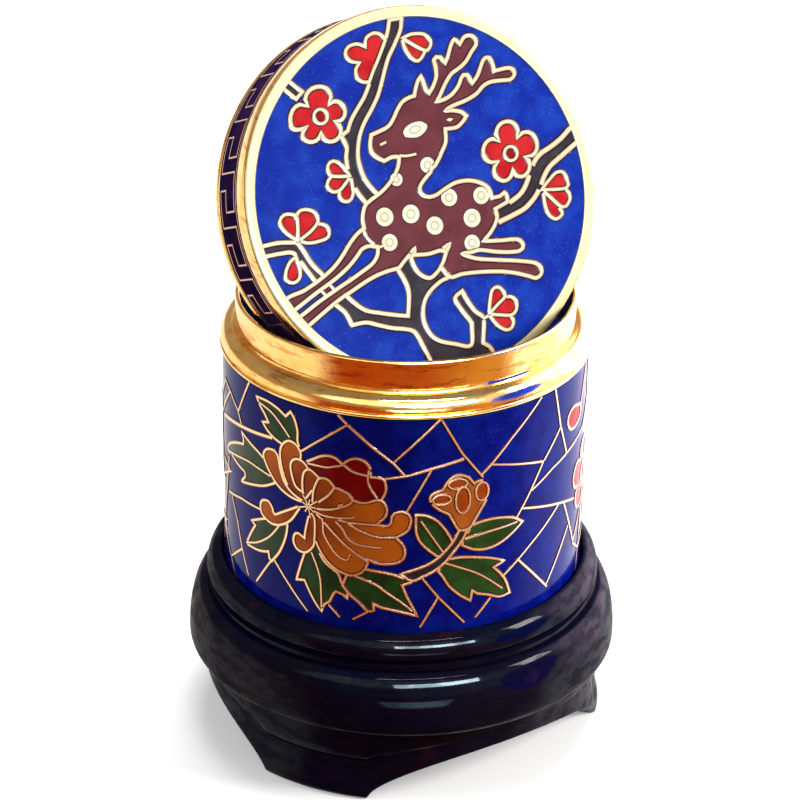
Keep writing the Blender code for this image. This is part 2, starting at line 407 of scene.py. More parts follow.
def turned(batch, sections, closed=False, place=lambda point: point, base=0.0):
    """Adds a solid of revolution. Sections are (finish, points) that follow on, each point (radius, height).

    Long straight runs get a point near each end, so that smooth shading stays flat along them.
    """
    profile, kinds = [], []
    for finish, points in sections:
        for point in points:
            run = math.dist(profile[-1], point) if profile else 0.0
            near = [SHADE_STOP / run, 1 - SHADE_STOP / run] if run > LONG_RUN else []
            for share in near:
                profile.append(tuple(a + (b - a) * share for a, b in zip(profile[-1 - (share > 0.5)], point)))
            profile.append(point)
            kinds += [finish] * (len(near) + 1)
    rings, points = [], []
    for radius, height in profile:
        count = 1 if radius < TINY else STEPS
        rings.append([len(points) + k for k in range(count)])
        for k in range(count):
            angle = math.tau * k / STEPS
            points.append(place(Vector((radius * math.cos(angle), radius * math.sin(angle), height + base))))
    faces, finishes = [], []
    order = list(range(len(rings))) + ([0] if closed else [])
    for first, second in zip(order, order[1:]):
        a, b = rings[first], rings[second]
        for k in range(STEPS):
            n = (k + 1) % STEPS
            face = [a[k % len(a)], a[n % len(a)], b[n % len(b)], b[k % len(b)]]
            face = [v for i, v in enumerate(face) if v not in face[:i]]
            faces.append(face)
            finishes.append(kinds[second])
    batch.add(points, faces, finishes)


def smooth(points, step=CURVE_STEP):
    """A curve through the points, with points about one step apart."""
    ends = [points[0] * 2 - points[1]] + points + [points[-1] * 2 - points[-2]]
    curve = [points[0]]
    for a, b, c, d in zip(ends, ends[1:], ends[2:], ends[3:]):
        count = max(1, round((c - b).length / step))
        for k in range(1, count + 1):
            t = k / count
            curve.append((b * 2 + (c - a) * t + (a * 2 - b * 5 + c * 4 - d) * t ** 2
                          + (b * 3 - a - c * 3 + d) * t ** 3) / 2)
    return curve


def drawn(surface, text, closed=True):
    """A line on a surface from points x,y in photograph pixels. A slash is a corner between smooth runs."""
    line, last = [], None
    for part in text.split("/"):
        run = [surface.pixel(*map(float, pair.split(","))) for pair in part.split()]
        run = ([last] if last is not None else []) + run
        if len(run) > 1:
            line += smooth(run)[1 if line else 0:]
        last = run[-1]
    if closed and (line[0] - line[-1]).length > CURVE_STEP / 4:
        line += smooth([line[-1], line[0]])[1:]
    if closed:
        line.pop()
    return line


def cell(batch, surface, outline, finish, rank, focus=None):
    """Adds an enamel cell as a thin slab, at a rank over the ground. Its shading starts at the focus."""
    edge = []
    for point in map(surface.limit, outline):
        if not edge or (point - edge[-1]).length > CELL_SPACING:
            edge.append(point)
    inner = []
    if surface.grid:
        low = [min(p[k] for p in edge) for k in (0, 1)]
        high = [max(p[k] for p in edge) for k in (0, 1)]
        counts = [int((high[k] - low[k]) / surface.grid) for k in (0, 1)]
        inner = [Vector((low[0] + (i + 0.5) * surface.grid, low[1] + (j + 0.5) * surface.grid))
                 for i in range(counts[0]) for j in range(counts[1])]
    flat, _, faces, *_ = delaunay_2d_cdt(edge + inner, [], [list(range(len(edge)))], 1, MEETING)
    used = sorted({index for face in faces for index in face})
    renumber = {old: new for new, old in enumerate(used)}
    flat = [flat[index] for index in used]
    faces = [[renumber[index] for index in face] for face in faces]
    sides = {(a, b) for face in faces for a, b in zip(face, face[1:] + face[:1])}
    count = len(flat)
    slab = [surface.place(p, rank * CELL_STEP) for p in flat] + [surface.place(p, -WIRE_DEPTH) for p in flat]
    shell = faces + [[index + count for index in reversed(face)] for face in faces]
    shell += [[b, a, a + count, b + count] for a, b in sides if (b, a) not in sides]
    shade = [min(1.0, (p - focus).length / SHADE_REACH) if focus else 0.0 for p in flat]
    batch.add(slab, shell, finish, shade * 2)


def lay(batch, path, closed, width, place):
    """Lays one unbroken wire along a path, with mitred corners and closed ends."""
    count = len(path)
    points, across = [], []
    for k, point in enumerate(path):
        before = path[k] - path[k - 1] if k or closed else path[1] - path[0]
        after = path[(k + 1) % count] - point if k + 1 < count or closed else before
        side = (before.normalized() + after.normalized()) / 2
        side = Vector((-side.y, side.x)) / max(side.length_squared, MITRE_LIMIT)
        for offset, height, value in WIRE_SECTION:
            points.append(place(point + side * (offset * width), height))
            across.append(value)
    size = len(WIRE_SECTION)
    faces = []
    for k in range(count if closed else count - 1):
        a, b = k * size, (k + 1) % count * size
        faces += [[a + i, a + (i + 1) % size, b + (i + 1) % size, b + i] for i in range(size)]
    if not closed:
        faces += [list(range(size)), [(count - 1) * size + i for i in reversed(range(size))]]
    batch.add(points, faces, across=across)


def wire(batch, surface, path, width, closed=True):
    """Lays a wire along the stretches of a path that lie in the picture and clear of what is in front."""
    clean = [p for k, p in enumerate(path) if not k or (p - path[k - 1]).length > WIRE_SPACING]
    if closed and (clean[0] - clean[-1]).length <= WIRE_SPACING:
        clean.pop()

    def seen(point):
        return surface.inside(point) and batch.clear(point, width * TOUCH)

    def end(shown, hidden):
        """Where the wire ends between a shown and a hidden point of its path."""
        away = hidden - shown
        low, high = 0.0, 1.0
        for _ in range(END_HALVINGS):
            middle = (low + high) / 2
            low, high = (middle, high) if seen(shown + away * middle) else (low, middle)
        return shown + away * low + away.normalized() * (width * MERGE)

    shown = [seen(point) for point in clean]
    if closed and all(shown):
        lay(batch, clean, True, width, surface.place)
        batch.mark(clean + clean[:1])
        return
    if closed:
        first = shown.index(False)
        clean, shown = clean[first:] + clean[:first + 1], shown[first:] + shown[:first + 1]
    stretches = []
    for k, point in enumerate(clean):
        if shown[k] and (not k or not shown[k - 1]):
            stretches.append([end(point, clean[k - 1])] if k else [])
        if shown[k]:
            stretches[-1].append(point)
        elif k and shown[k - 1]:
            stretches[-1].append(end(clean[k - 1], point))
    for stretch in stretches:
        if sum((b - a).length for a, b in zip(stretch, stretch[1:])) > width:
            lay(batch, stretch, False, width, surface.place)
            batch.mark(stretch)


class Level:
    """A shader socket that takes part in sums: operators add Math nodes."""

    def __init__(self, finish, socket):
        self.finish, self.socket = finish, socket

    def maths(self, operation, first, second):
        return self.finish.node("ShaderNodeMath", {"operation": operation}, {0: first, 1: second})

    def __add__(self, other):
        return self.maths("ADD", self, other)

    def __sub__(self, other):
        return self.maths("SUBTRACT", self, other)

    def __rsub__(self, other):
        return self.maths("SUBTRACT", other, self)

    def __mul__(self, other):
        return self.maths("MULTIPLY", self, other)

    __radd__ = __add__
    __rmul__ = __mul__


class Finish:
    """A material in the making, with one Principled shader."""

    def __init__(self, name, roughness=0.3, metallic=0.0, **fixed):
        self.material = bpy.data.materials.new(name)
        self.material.use_nodes = True
        self.tree = self.material.node_tree
        self.shader = self.tree.nodes["Principled BSDF"]
        self.shader.inputs["Roughness"].default_value = roughness
        self.shader.inputs["Metallic"].default_value = metallic
        for label, value in fixed.items():
            self.shader.inputs[label.replace("_", " ")].default_value = value

    def feed(self, socket, value):
        if isinstance(value, Level):
            self.tree.links.new(value.socket, socket)
        elif isinstance(value, tuple) and len(value) == 3 and socket.type == "RGBA":
            socket.default_value = (*value, 1.0)
        else:
            socket.default_value = value

    def node(self, kind, settings=None, sockets=None, out=0):
        """Adds a node, sets its settings and then its sockets, and gives one of its outputs."""
        node = self.tree.nodes.new(kind)
        for label, value in (settings or {}).items():
            if label == "stops":
                while len(node.color_ramp.elements) < len(value):
                    node.color_ramp.elements.new(1.0)
                for element, (place, colour) in zip(node.color_ramp.elements, value):
                    element.position, element.color = place, (*colour, 1.0)
            else:
                setattr(node, label, value)
        for label, value in (sockets or {}).items():
            self.feed(node.inputs[label], value)
        return Level(self, node.outputs[out])

    def place(self):
        """The piece's own coordinates, in metres."""
        return self.node("ShaderNodeTexCoord", out="Object")

    def noise(self, per_mm, detail=2.0, roughness=0.5, stretch=None):
        where = self.place()
        if stretch:
            where = self.node("ShaderNodeMapping", None, {"Vector": where, "Scale": stretch})
        sockets = {"Vector": where, "Scale": per_mm / MM, "Detail": detail, "Roughness": roughness}
        return self.node("ShaderNodeTexNoise", None, sockets)

    def steps(self, value, low, high):
        """Brings a value from low..high to 0..1, smoothly and held at the ends."""
        settings = {"interpolation_type": "SMOOTHSTEP"}
        return self.node("ShaderNodeMapRange", settings, {"Value": value, "From Min": low, "From Max": high})

    def mix(self, factor, first, second):
        node = self.tree.nodes.new("ShaderNodeMix")
        node.data_type = "RGBA"
        self.feed(node.inputs[0], factor)
        self.feed(node.inputs[6], first)
        self.feed(node.inputs[7], second)
        return Level(self, node.outputs[2])

    def colour(self, value):
        self.feed(self.shader.inputs["Base Color"], value)

    def rough(self, value):
        self.feed(self.shader.inputs["Roughness"], value)

    def bump(self, height, distance, strength):
        sockets = {"Height": height, "Distance": distance * MM, "Strength": strength}
        normal = self.node("ShaderNodeBump", None, sockets)
        self.feed(self.shader.inputs["Normal"], normal)

    def across(self):
        return self.node("ShaderNodeAttribute", {"attribute_name": "across"}, out="Fac")


ENAMEL_ROUGHNESS = 0.12
WIRE_ROUGHNESS = 0.24
WIRE_SHADE_LINE_BLUR = 0.06                 # share of a wire's width over which its painted shade line turns to metal
STREAKS = (1, 1, 5)                  # how much finer the wiping streaks in the gilt are up and down
BRUSHED = (1, 1, 2.5)                # and the waves in the lacquer
PATCHED = (1, 1, 2.6)                # and the patches of its top coat
BLUE_SPECK = (0.30, 0.38, 0.75)
RUBBED_COPPER = (0.50, 0.17, 0.03)
LACQUER_BLUE = (0.0024, 0.0038, 0.017)
LACQUER_PLUM = (0.0060, 0.0036, 0.011)
# Red of the patches on the lacquer: a painted red reflection
PAINTED_RED_SHEEN = (0.045, 0.008, 0.016)
# Colour of the step and the cut line round the lid's border: painted shade
CUT_SHADE_BROWN = (0.070, 0.022, 0.008)


def enamel(name, base, deep, speck=BLUE_SPECK, specks=0.2, tip=None, specular=0.2):
    """Polished glass enamel: cloudy colour, fine pale specks, and a slightly uneven face."""
    finish = Finish(name, roughness=ENAMEL_ROUGHNESS, Specular_IOR_Level=specular)
    cloud = finish.steps(finish.noise(0.35, 3.0), 0.35, 0.7)
    colour = finish.mix(cloud, base, deep)
    if tip:
        shade = finish.steps(finish.across() + finish.noise(0.6) * 0.3 - 0.15, 0.25, 0.95)
        colour = finish.mix(shade, colour, tip)
    grain = finish.steps(finish.noise(3.4, 3.0, 0.6), 0.60, 0.74)
    finish.colour(finish.mix(grain * specks, colour, speck))
    pits = finish.steps(finish.noise(1.6, 2.0), 0.68, 0.8)
    finish.rough(finish.noise(0.5) * 0.06 + pits * 0.12 + (ENAMEL_ROUGHNESS - 0.05))
    finish.bump(finish.noise(0.7, 2.0) - pits * 0.4, 0.05, 0.35)
    return finish.material


def gilt(name, bright, deep, roughness=0.105, metallic=1.0, worn=0.75, specular=0.5):
    """Worn gilding: warm metal with fine wiping streaks, duller patches and coppery rubbed ones."""
    finish = Finish(name, roughness=roughness, metallic=metallic, Specular_IOR_Level=specular)
    patch = finish.steps(finish.noise(0.25, 3.0), 0.35, 0.75)
    wear_and_sheen = finish.steps(finish.noise(0.22, 5.0, 0.65, STREAKS), 0.50, 0.68)
    finish.colour(finish.mix(wear_and_sheen * worn, finish.mix(patch, bright, deep), RUBBED_COPPER))
    streak = finish.noise(0.9, 3.0, 0.6, STREAKS)
    finish.rough(streak * 0.12 + patch * 0.06 + (roughness - 0.08))
    finish.bump(finish.noise(0.16, 5.0, 0.6) + streak * 0.13, 0.12, 0.5)
    return finish.material


def cloison(name, crest, flank, edge, rim, metallic=0.8, specular=0.5):
    """A wire of a picture: a painted highlight along its middle, and a painted shade line over a rim where it
    meets the glass.
    """
    finish = Finish(name, roughness=WIRE_ROUGHNESS, metallic=metallic, Specular_IOR_Level=specular)
    soft = rim + WIRE_SHADE_LINE_BLUR
    # Colour across the wire: painted shade at both edges, the metal's flank colour between, and a painted
    # highlight at the crest
    stops = [(0.0, edge), (rim, edge), (soft, flank), (0.5, crest)]
    stops += [(1 - soft, flank), (1 - rim, edge), (1.0, edge)]
    colour = finish.node("ShaderNodeValToRGB", {"stops": stops}, {"Fac": finish.across()})
    worn = finish.steps(finish.noise(1.1, 2.0), 0.62, 0.8)
    finish.colour(finish.mix(worn * 0.5, colour, flank))
    finish.rough(finish.noise(2.0) * 0.2 + (WIRE_ROUGHNESS - 0.1))
    return finish.material


def lacquer():
    """Black lacquer over wood: blue and plum casts, red patches that are a painted reflection, brush waves
    and a few dust nibs.
    """
    finish = Finish("black lacquer", roughness=0.2, Coat_Roughness=0.06, Coat_IOR=1.5, Specular_IOR_Level=0.0)
    cloud = finish.steps(finish.noise(0.06, 3.0), 0.4, 0.7)
    # Red patches in the lacquer's colour: a painted reflection, not wear
    wear_and_sheen = finish.steps(finish.noise(0.13, 4.0, 0.6), 0.60, 0.76)
    finish.colour(finish.mix(wear_and_sheen * 0.6, finish.mix(cloud, LACQUER_BLUE, LACQUER_PLUM), PAINTED_RED_SHEEN))
    smudge = finish.steps(finish.noise(0.12, 4.0, 0.6), 0.48, 0.75)
    nib = finish.steps(finish.noise(1.3, 1.0), 0.74, 0.8)
    finish.rough(smudge * 0.16 + nib * 0.2 + 0.1)
    whole = finish.steps(finish.noise(0.26, 4.0, 0.65, PATCHED), 0.38, 0.60)
    finish.feed(finish.shader.inputs["Coat Weight"], whole * 0.12 - smudge * 0.05 + 0.10)
    finish.bump(finish.noise(0.26, 5.0, 0.65, BRUSHED) + nib * 0.1, 1.1, 0.6)
    return finish.material


LACQUER = lacquer()
GILT = gilt("bright gilt", (1.0, 0.66, 0.24), (0.93, 0.50, 0.12))
# The lid's gilt border: pale and nearly matt, a painted sheen that stands for bright gilt
PALE_SHEEN_GILT = gilt("pale gilt", (0.86, 0.82, 0.47), (0.82, 0.75, 0.36), 0.3, 0.04, worn=0.05, specular=0.08)
COUNTER = enamel("blue counter enamel", (0.008, 0.035, 0.26), (0.012, 0.055, 0.32), specks=0.15,
                 specular=0.06)
CUP_BLUE = enamel("cobalt cup enamel", (0.001, 0.005, 0.20), (0.002, 0.014, 0.30), specks=0.10, specular=0.05)
LID_BLUE = enamel("cobalt lid enamel", (0.003, 0.022, 0.35), (0.008, 0.048, 0.46), specular=0.10)
NAVY = enamel("navy band enamel", (0.040, 0.012, 0.050), (0.006, 0.006, 0.060), specks=0.1, specular=0.0)
MAROON = enamel("maroon enamel", (0.165, 0.032, 0.043), (0.125, 0.023, 0.032), (0.35, 0.20, 0.2), 0.15)
CREAM = enamel("cream enamel", (0.95, 0.90, 0.72), (0.88, 0.79, 0.56), (1.0, 1.0, 0.9), 0.15)
RED = enamel("red enamel", (0.66, 0.026, 0.028), (0.52, 0.012, 0.017), (0.9, 0.25, 0.2), 0.12, specular=0.05)
SLATE = enamel("slate enamel", (0.026, 0.020, 0.028), (0.044, 0.036, 0.050), (0.3, 0.3, 0.35))
GREEN = enamel("green enamel", (0.020, 0.055, 0.013), (0.030, 0.105, 0.019), (0.2, 0.35, 0.1), 0.15,
               specular=0.14)
AMBER = enamel("amber enamel", (0.42, 0.054, 0.008), (0.60, 0.092, 0.011), (0.8, 0.35, 0.1), 0.12,
               tip=(0.94, 0.190, 0.014), specular=0.08)
PEACH = enamel("peach enamel", (0.62, 0.150, 0.022), (0.50, 0.095, 0.014), (0.9, 0.5, 0.2), 0.15,
               specular=0.14)
CRIMSON = enamel("crimson enamel", (0.36, 0.003, 0.006), (0.25, 0.002, 0.004), (0.6, 0.1, 0.1), 0.08,
                 specular=0.14)
# The lid's wires: pale and nearly matt, a painted sheen for bright gilt, with a painted highlight at the
# crest and a painted shade line at the edges
WIRE_PALE_SHEEN = cloison("pale wire", (0.84, 0.79, 0.58), (0.66, 0.48, 0.26), (0.035, 0.005, 0.005), 0.175,
                    metallic=0.04, specular=0.08)
# The crest colour of these wires is a painted highlight, and the edge colour a painted shade line
WIRE_COPPER = cloison("coppery wire", (1.0, 0.80, 0.48), (0.92, 0.56, 0.27), (0.050, 0.008, 0.005), 0.20)
WIRE_DULL = cloison("dull band wire", (0.72, 0.42, 0.24), (0.50, 0.26, 0.14), (0.020, 0.006, 0.010), 0.12)
# Dark finish for the step round the lid's picture and the cut line in the border: painted shade in the groove
CUT = Finish("dark cut line", roughness=0.6)
CUT.colour(CUT_SHADE_BROWN)


def foot_offset(angle):
    """Angle from the nearest foot's middle, for an angle counted from the front towards the right."""
    pitch = math.tau / FOOT_COUNT
    return abs((angle - FOOT_ANGLE + pitch / 2) % pitch - pitch / 2)


def arch_rise(angle):
    """Height of the apron's lower edge over the ground: none under a foot, full half way to the next."""
    half_pitch = math.pi / FOOT_COUNT
    across = (half_pitch - foot_offset(angle)) / (half_pitch - FOOT_HALF_ANGLE)
    return ARCH_HEIGHT * max(0.0, 1 - across ** 2) ** ARCH_FULLNESS


def shape_feet(point):
    """Lifts the apron into its arches, and flares and grooves it over the feet."""
    radius = math.hypot(point.x, point.y)
    inner_wall = APRON_RADIUS - APRON_WALL
    if point.z > APRON_HEIGHT or radius < inner_wall - FINE_LINE:
        return point
    if radius < inner_wall + FINE_LINE and point.z > UNDERSIDE_DEPTH - FINE_LINE:
        return point
    rise = arch_rise(math.atan2(point.x, -point.y))
    foot = 1 - rise / ARCH_HEIGHT
    scale = 1.0
    if radius > inner_wall + FINE_LINE:
        out = FOOT_FLARE * foot * (1 - point.z / APRON_HEIGHT) ** 2
        off = point.z - FOOT_GROOVE_HEIGHT
        off /= FOOT_GROOVE_WIDTH / 2 if off > 0 else APRON_CHAMFER - FOOT_GROOVE_HEIGHT
        out -= FOOT_GROOVE_DEPTH * foot * max(0.0, 1 - off)
        scale = (radius + out) / radius
    return Vector((point.x * scale, point.y * scale, rise + point.z * (APRON_HEIGHT - rise) / APRON_HEIGHT))


def make_stand():
    """The lacquered stand, with the solid's profile in finer steps."""
    top = STAND_TOP
    ring_foot = top - TOP_RING_HEIGHT
    band_foot = ring_foot - NECKING_HEIGHT
    inner_wall = APRON_RADIUS - APRON_WALL
    crest = RECESS_RADIUS + FINE_LINE
    points = [(0.0, top - RECESS_DEPTH), (RECESS_RADIUS, top - RECESS_DEPTH)]
    points += [(RECESS_RADIUS, top - FINE_LINE)]
    ring_round = (TOP_RING_RADIUS - crest, TOP_RING_HEIGHT - 2 * FINE_LINE)
    points += arc((crest, top - ring_round[1]), ring_round, 90, 0, 16)
    points += [(TOP_RING_RADIUS - NECKING_DEPTH / 2, ring_foot)]
    points += [(TOP_RING_RADIUS - NECKING_DEPTH, ring_foot - FINE_LINE)]
    points += [(TOP_RING_RADIUS, ring_foot - 2 * FINE_LINE)]
    points += [(TOP_RING_RADIUS, band_foot + FINE_LINE), (TOP_RING_RADIUS - FINE_LINE, band_foot)]
    bulge_round = (BULGE_RADIUS - BULGE_SHOULDER_RADIUS, band_foot - APRON_HEIGHT - BULGE_LIP)
    points += arc((BULGE_SHOULDER_RADIUS, APRON_HEIGHT + BULGE_LIP), bulge_round, 88, 0, 18)
    lip = (BULGE_RADIUS - BULGE_LIP_IN, APRON_HEIGHT + BULGE_LIP)
    points += arc(lip, (BULGE_LIP_IN, BULGE_LIP), 0, -80, 7)[1:]
    points += [(APRON_RADIUS + FINE_LINE, APRON_HEIGHT), (APRON_RADIUS, APRON_HEIGHT - FINE_LINE)]
    levels = [APRON_HEIGHT - FINE_LINE - drop for drop in APRON_DROPS]
    levels += [FOOT_GROOVE_HEIGHT + FOOT_GROOVE_WIDTH / 2 * (1 - k / 4) for k in range(9)]
    levels += [*APRON_ROWS, APRON_CHAMFER]
    points += [(APRON_RADIUS, level) for level in levels]
    points += arc((APRON_RADIUS - APRON_CHAMFER, APRON_CHAMFER), (APRON_CHAMFER,) * 2, -15, -90, 5)
    points += [(inner_wall, 0.0), (inner_wall, UNDERSIDE_DEPTH), (0.0, UNDERSIDE_DEPTH)]
    batch = Batch()
    turned(batch, [(0, points)], place=shape_feet)
    batch.piece("lacquered_stand", [LACQUER], "black_lacquer", ["wooden_stand"])


def make_cup():
    """The enamelled cup: blue ground outside, plain blue counter enamel inside."""
    height = CUP_HIGH.z - CUP_LOW.z
    inner = CUP_RADIUS - CUP_WALL
    outside = [(0.0, 0.0), (CUP_RADIUS - CUP_EDGE, 0.0), (CUP_RADIUS, CUP_EDGE), (CUP_RADIUS, height)]
    fillet = arc((inner - CUP_FILLET, CUP_FLOOR + CUP_FILLET), (CUP_FILLET,) * 2, 0, -90, 6)
    inside = [(inner, height)] + fillet + [(0.0, CUP_FLOOR)]
    batch = Batch()
    turned(batch, [(0, outside), (1, inside)], base=CUP_LOW.z)
    batch.piece("enamelled_cup", [CUP_BLUE, COUNTER], "enamel", ["box_body"])


def make_collar():
    """The gilt collar: bead, groove, rounded shoulder and neck."""
    out = CUP_RADIUS + SHOULDER_OVERHANG
    bead = COLLAR_BEAD / 2
    points = [(MOUTH_RADIUS, 0.0)] + arc((out - bead, bead), (bead, bead), -90, 90, 8)
    points += [(out - bead - COLLAR_GROOVE / 2, COLLAR_BEAD + COLLAR_GROOVE / 2)]
    foot = COLLAR_BEAD + COLLAR_GROOVE
    shoulder_in = NECK_RADIUS + NECK_FOOT_STEP
    shoulder = (out - COLLAR_GROOVE / 2 - shoulder_in, SHOULDER_HEIGHT - foot)
    points += arc((shoulder_in, foot), shoulder, 0, 90, 10)
    points += [(NECK_RADIUS + NECK_FOOT_STEP / 3, SHOULDER_HEIGHT - COLLAR_GROOVE / 2)]
    points += [(NECK_RADIUS, SHOULDER_HEIGHT + COLLAR_GROOVE)]
    rim = NECK_WALL / 2
    points += arc((NECK_RADIUS - rim, COLLAR_HIGH.z - COLLAR_LOW.z - rim), (rim, rim), 0, 180, 8)
    batch = Batch()
    turned(batch, [(0, points)], closed=True, base=COLLAR_LOW.z)
    batch.piece("gilt_collar", [GILT], "gilt", ["neck_ring"])


def make_lid():
    """The cap: blue field, gilt border and rounded edge, navy band, rear wire, counter enamel within."""
    top = LID_HEIGHT
    middle = (LID_EDGE - LID_EDGE_ROUND, top - LID_EDGE_ROUND)
    roll_foot = top - LID_ROLL
    field = [(0.0, FIELD_HEIGHT), (FIELD_RADIUS, FIELD_HEIGHT)]
    step = [(FIELD_RADIUS + BORDER_STEP[0], top - BORDER_STEP[1]), (FIELD_RADIUS + BORDER_RISE, top)]
    border = arc(middle, (LID_EDGE_ROUND,) * 2, 90, BORDER_END, 5)
    cut_from, cut_to, roll_from = (BORDER_END - BORDER_CUT * k for k in (1, 2, 3))
    cut = arc(middle, (LID_EDGE_ROUND - BORDER_LINE,) * 2, cut_from, cut_to, 1)
    roll = arc(middle, (LID_EDGE_ROUND,) * 2, roll_from, 0, 4)
    roll += arc((CUP_RADIUS, roll_foot + LID_ROLL / 2), (LID_OVERHANG, LID_ROLL / 2), 60, -90, 8)
    band = [(CUP_RADIUS, LID_REAR_WIRE)]
    rear = arc((CUP_RADIUS, LID_REAR_WIRE / 2), (LID_OVERHANG, LID_REAR_WIRE / 2), 90, -90, 8)
    inner = NECK_RADIUS + LID_FIT
    rear += [(inner, 0.0)]
    hollow = [(inner, top - LID_TOP), (0.0, top - LID_TOP)]
    finishes = [LID_BLUE, PALE_SHEEN_GILT, GILT, NAVY, COUNTER, CUT.material]
    blue, pale, bright, navy, counter, dark = range(len(finishes))
    # The step and the cut line take the dark finish: painted shade
    sections = [(blue, field), (dark, step), (pale, border), (dark, cut), (bright, roll), (navy, band)]
    sections += [(bright, rear), (counter, hollow)]
    batch = Batch()
    turned(batch, sections, place=lambda point: LID @ point)
    batch.piece("lid_cap", finishes, "lid_enamel", ["lid"])


# The lid's picture, as wire lines in pixels of the photograph
TREE = (
    "389,20 387,33 383,45 377.5,60 372.5,72 369,84 364,97 357,109 351,120 347.5,131 / 341,136 / 346.5,147 "
    "346,158 348,170 352,182 358,193 366,203 376,214 / 386,203 374,191 366,181 361,170 358,158 358,146 "
    "360,134 364.5,122 371,110 377.5,96 381.5,82 384.5,70 388,58 394,45 400,30 401,18 /",
    "569,129 560,139 550,147 540,154 534,162 529,175 526,184 521,193 513,200 503,206 490,211 / 490,225 "
    "503,220 515,214 525,208 534,198 540,187 544,176 550,166 560,157 570,148 583,137 / 575,124 /",
    "250,249 262,246.5 278,243 297,242.5 / 303,250 312,264 325,277 / 318,283 309,273 300,261 293,253 "
    "281,253.5 254,259 /",
    "399,271 406,283 409,295 408,316 / 395,315 380,313 365,310 352,301 344,293 / 332,302 / 341,309 "
    "347,315 352,325 / 366,322.5 378,325 392,328 404,329 413,331 419,338 425,350 436,372 / 500,372 / "
    "492,350 483,343 / 484,322 482,316 475,311 467,300 462,291 / 455,298 461,309 468,318 472,323 / "
    "471,345 455,344 440,341 431,335 425,324 423,312 425,300 431,290 441,281 450,277 / 447,270 444,257 / "
    "411,256 / 399,271",
)
TWIG = "280,86 296,99 / 302,92 / 286,79 /"
# Shares of the wire's width along each piece of the tree, then the twig
TREE_WIRES = (1.0, 1.25, 1.0, 1.0, 0.9)
DEER = (
    "371,135 / 380,131 388,126.5 393,119 397,110 402,102 409,97.5 414,96 / 415.5,88 418,80 420.5,76 / "
    "423,82 426,90 429,93 / 433,86 436,76 435,66 433.5,60 436,57 440,57.5 445,63 / 448,55 450,47 454,39.5 "
    "459.5,44 / 464,37 470,35.5 475,39 475.5,45 471,52 466,61 459,68 452,73 447,80 443,88 439,97 436,102 "
    "/ 445,99 452,94 458,86 461,78 463,75 467,75 472,83 / 477,76 480,68 483,60 487,57.5 491,61 494,71 / "
    "500,69.5 508,68 513,70 514,75 510,79.5 500,80.5 490,82 483,86 477,93 470,98 462,102 452,106 444,111 "
    "/ 452,110.5 461,112 466,116 / 463,121 457,127 450,128.5 445,129 / 445.5,142 441.5,152 438,160 "
    "431.5,170.5 423,181 419.5,188 421.5,194 428,197 436,195 446,188 456,182.5 468,180.5 479,182.5 "
    "488,188 492,198 / 500,196 504,192.5 507,197 507,202 / 500,206 495,209 / 497,216 495,224 490,233 "
    "483,241 / 489,241 500,240.5 517,239.5 523,245 519,251 500,252 480,250 472,252 461,253.5 / 470,257 "
    "480,259 500,260 520,261 535,263 541,268 541,274 536,278 528,276 515,273 500,271.5 480,272 462,274 "
    "450,277 441,267 / 443,258 447,250 450,243 / 440,250 428,253.5 414,254 / 415,247 / 410,254 405,260 "
    "399,268 / 385,272 370,279 352,291 335,303 306,328 / 284,303 305,290 318,281 330,271 338,262 344,253 "
    "350,243 357,234 364,228 / 362.5,218 364,208 366,204 / 372,199 380,193 387,186 394,176 398,166 "
    "399,157 / 392,157 384,161 / 378,158 372,153 370,145 371,135"
)
BETWEEN_LEGS = (
    "378,247 369,246 362,249 357,256 350,265 341,274 330,283 315,294 291,313 / 296,319 320,301 340,287 "
    "352,279 363,271 372,264 377,256 378,247"
)
UNDER_BELLY = "411,258 415,268 421,275 430,278 438,271 443,262 446,252 / 440,250.5 428,254 412.5,255 /"
EYE_SHAPE = "403,133 405,128 412,123 421,121.5 427,125 / 426,130 418,137 405,137 403,133"
DEER_LINES = ("363,228 367,238 378,247 384,245", "397,155.5 406,156 416,154", "380,145 386,142")
LEG_BARS = ("328,283 337,293", "320,290 329.5,299")
BETWEEN_BARS = "329,284 / 336.5,292 / 328.5,297.5 / 321.5,290.5 /"
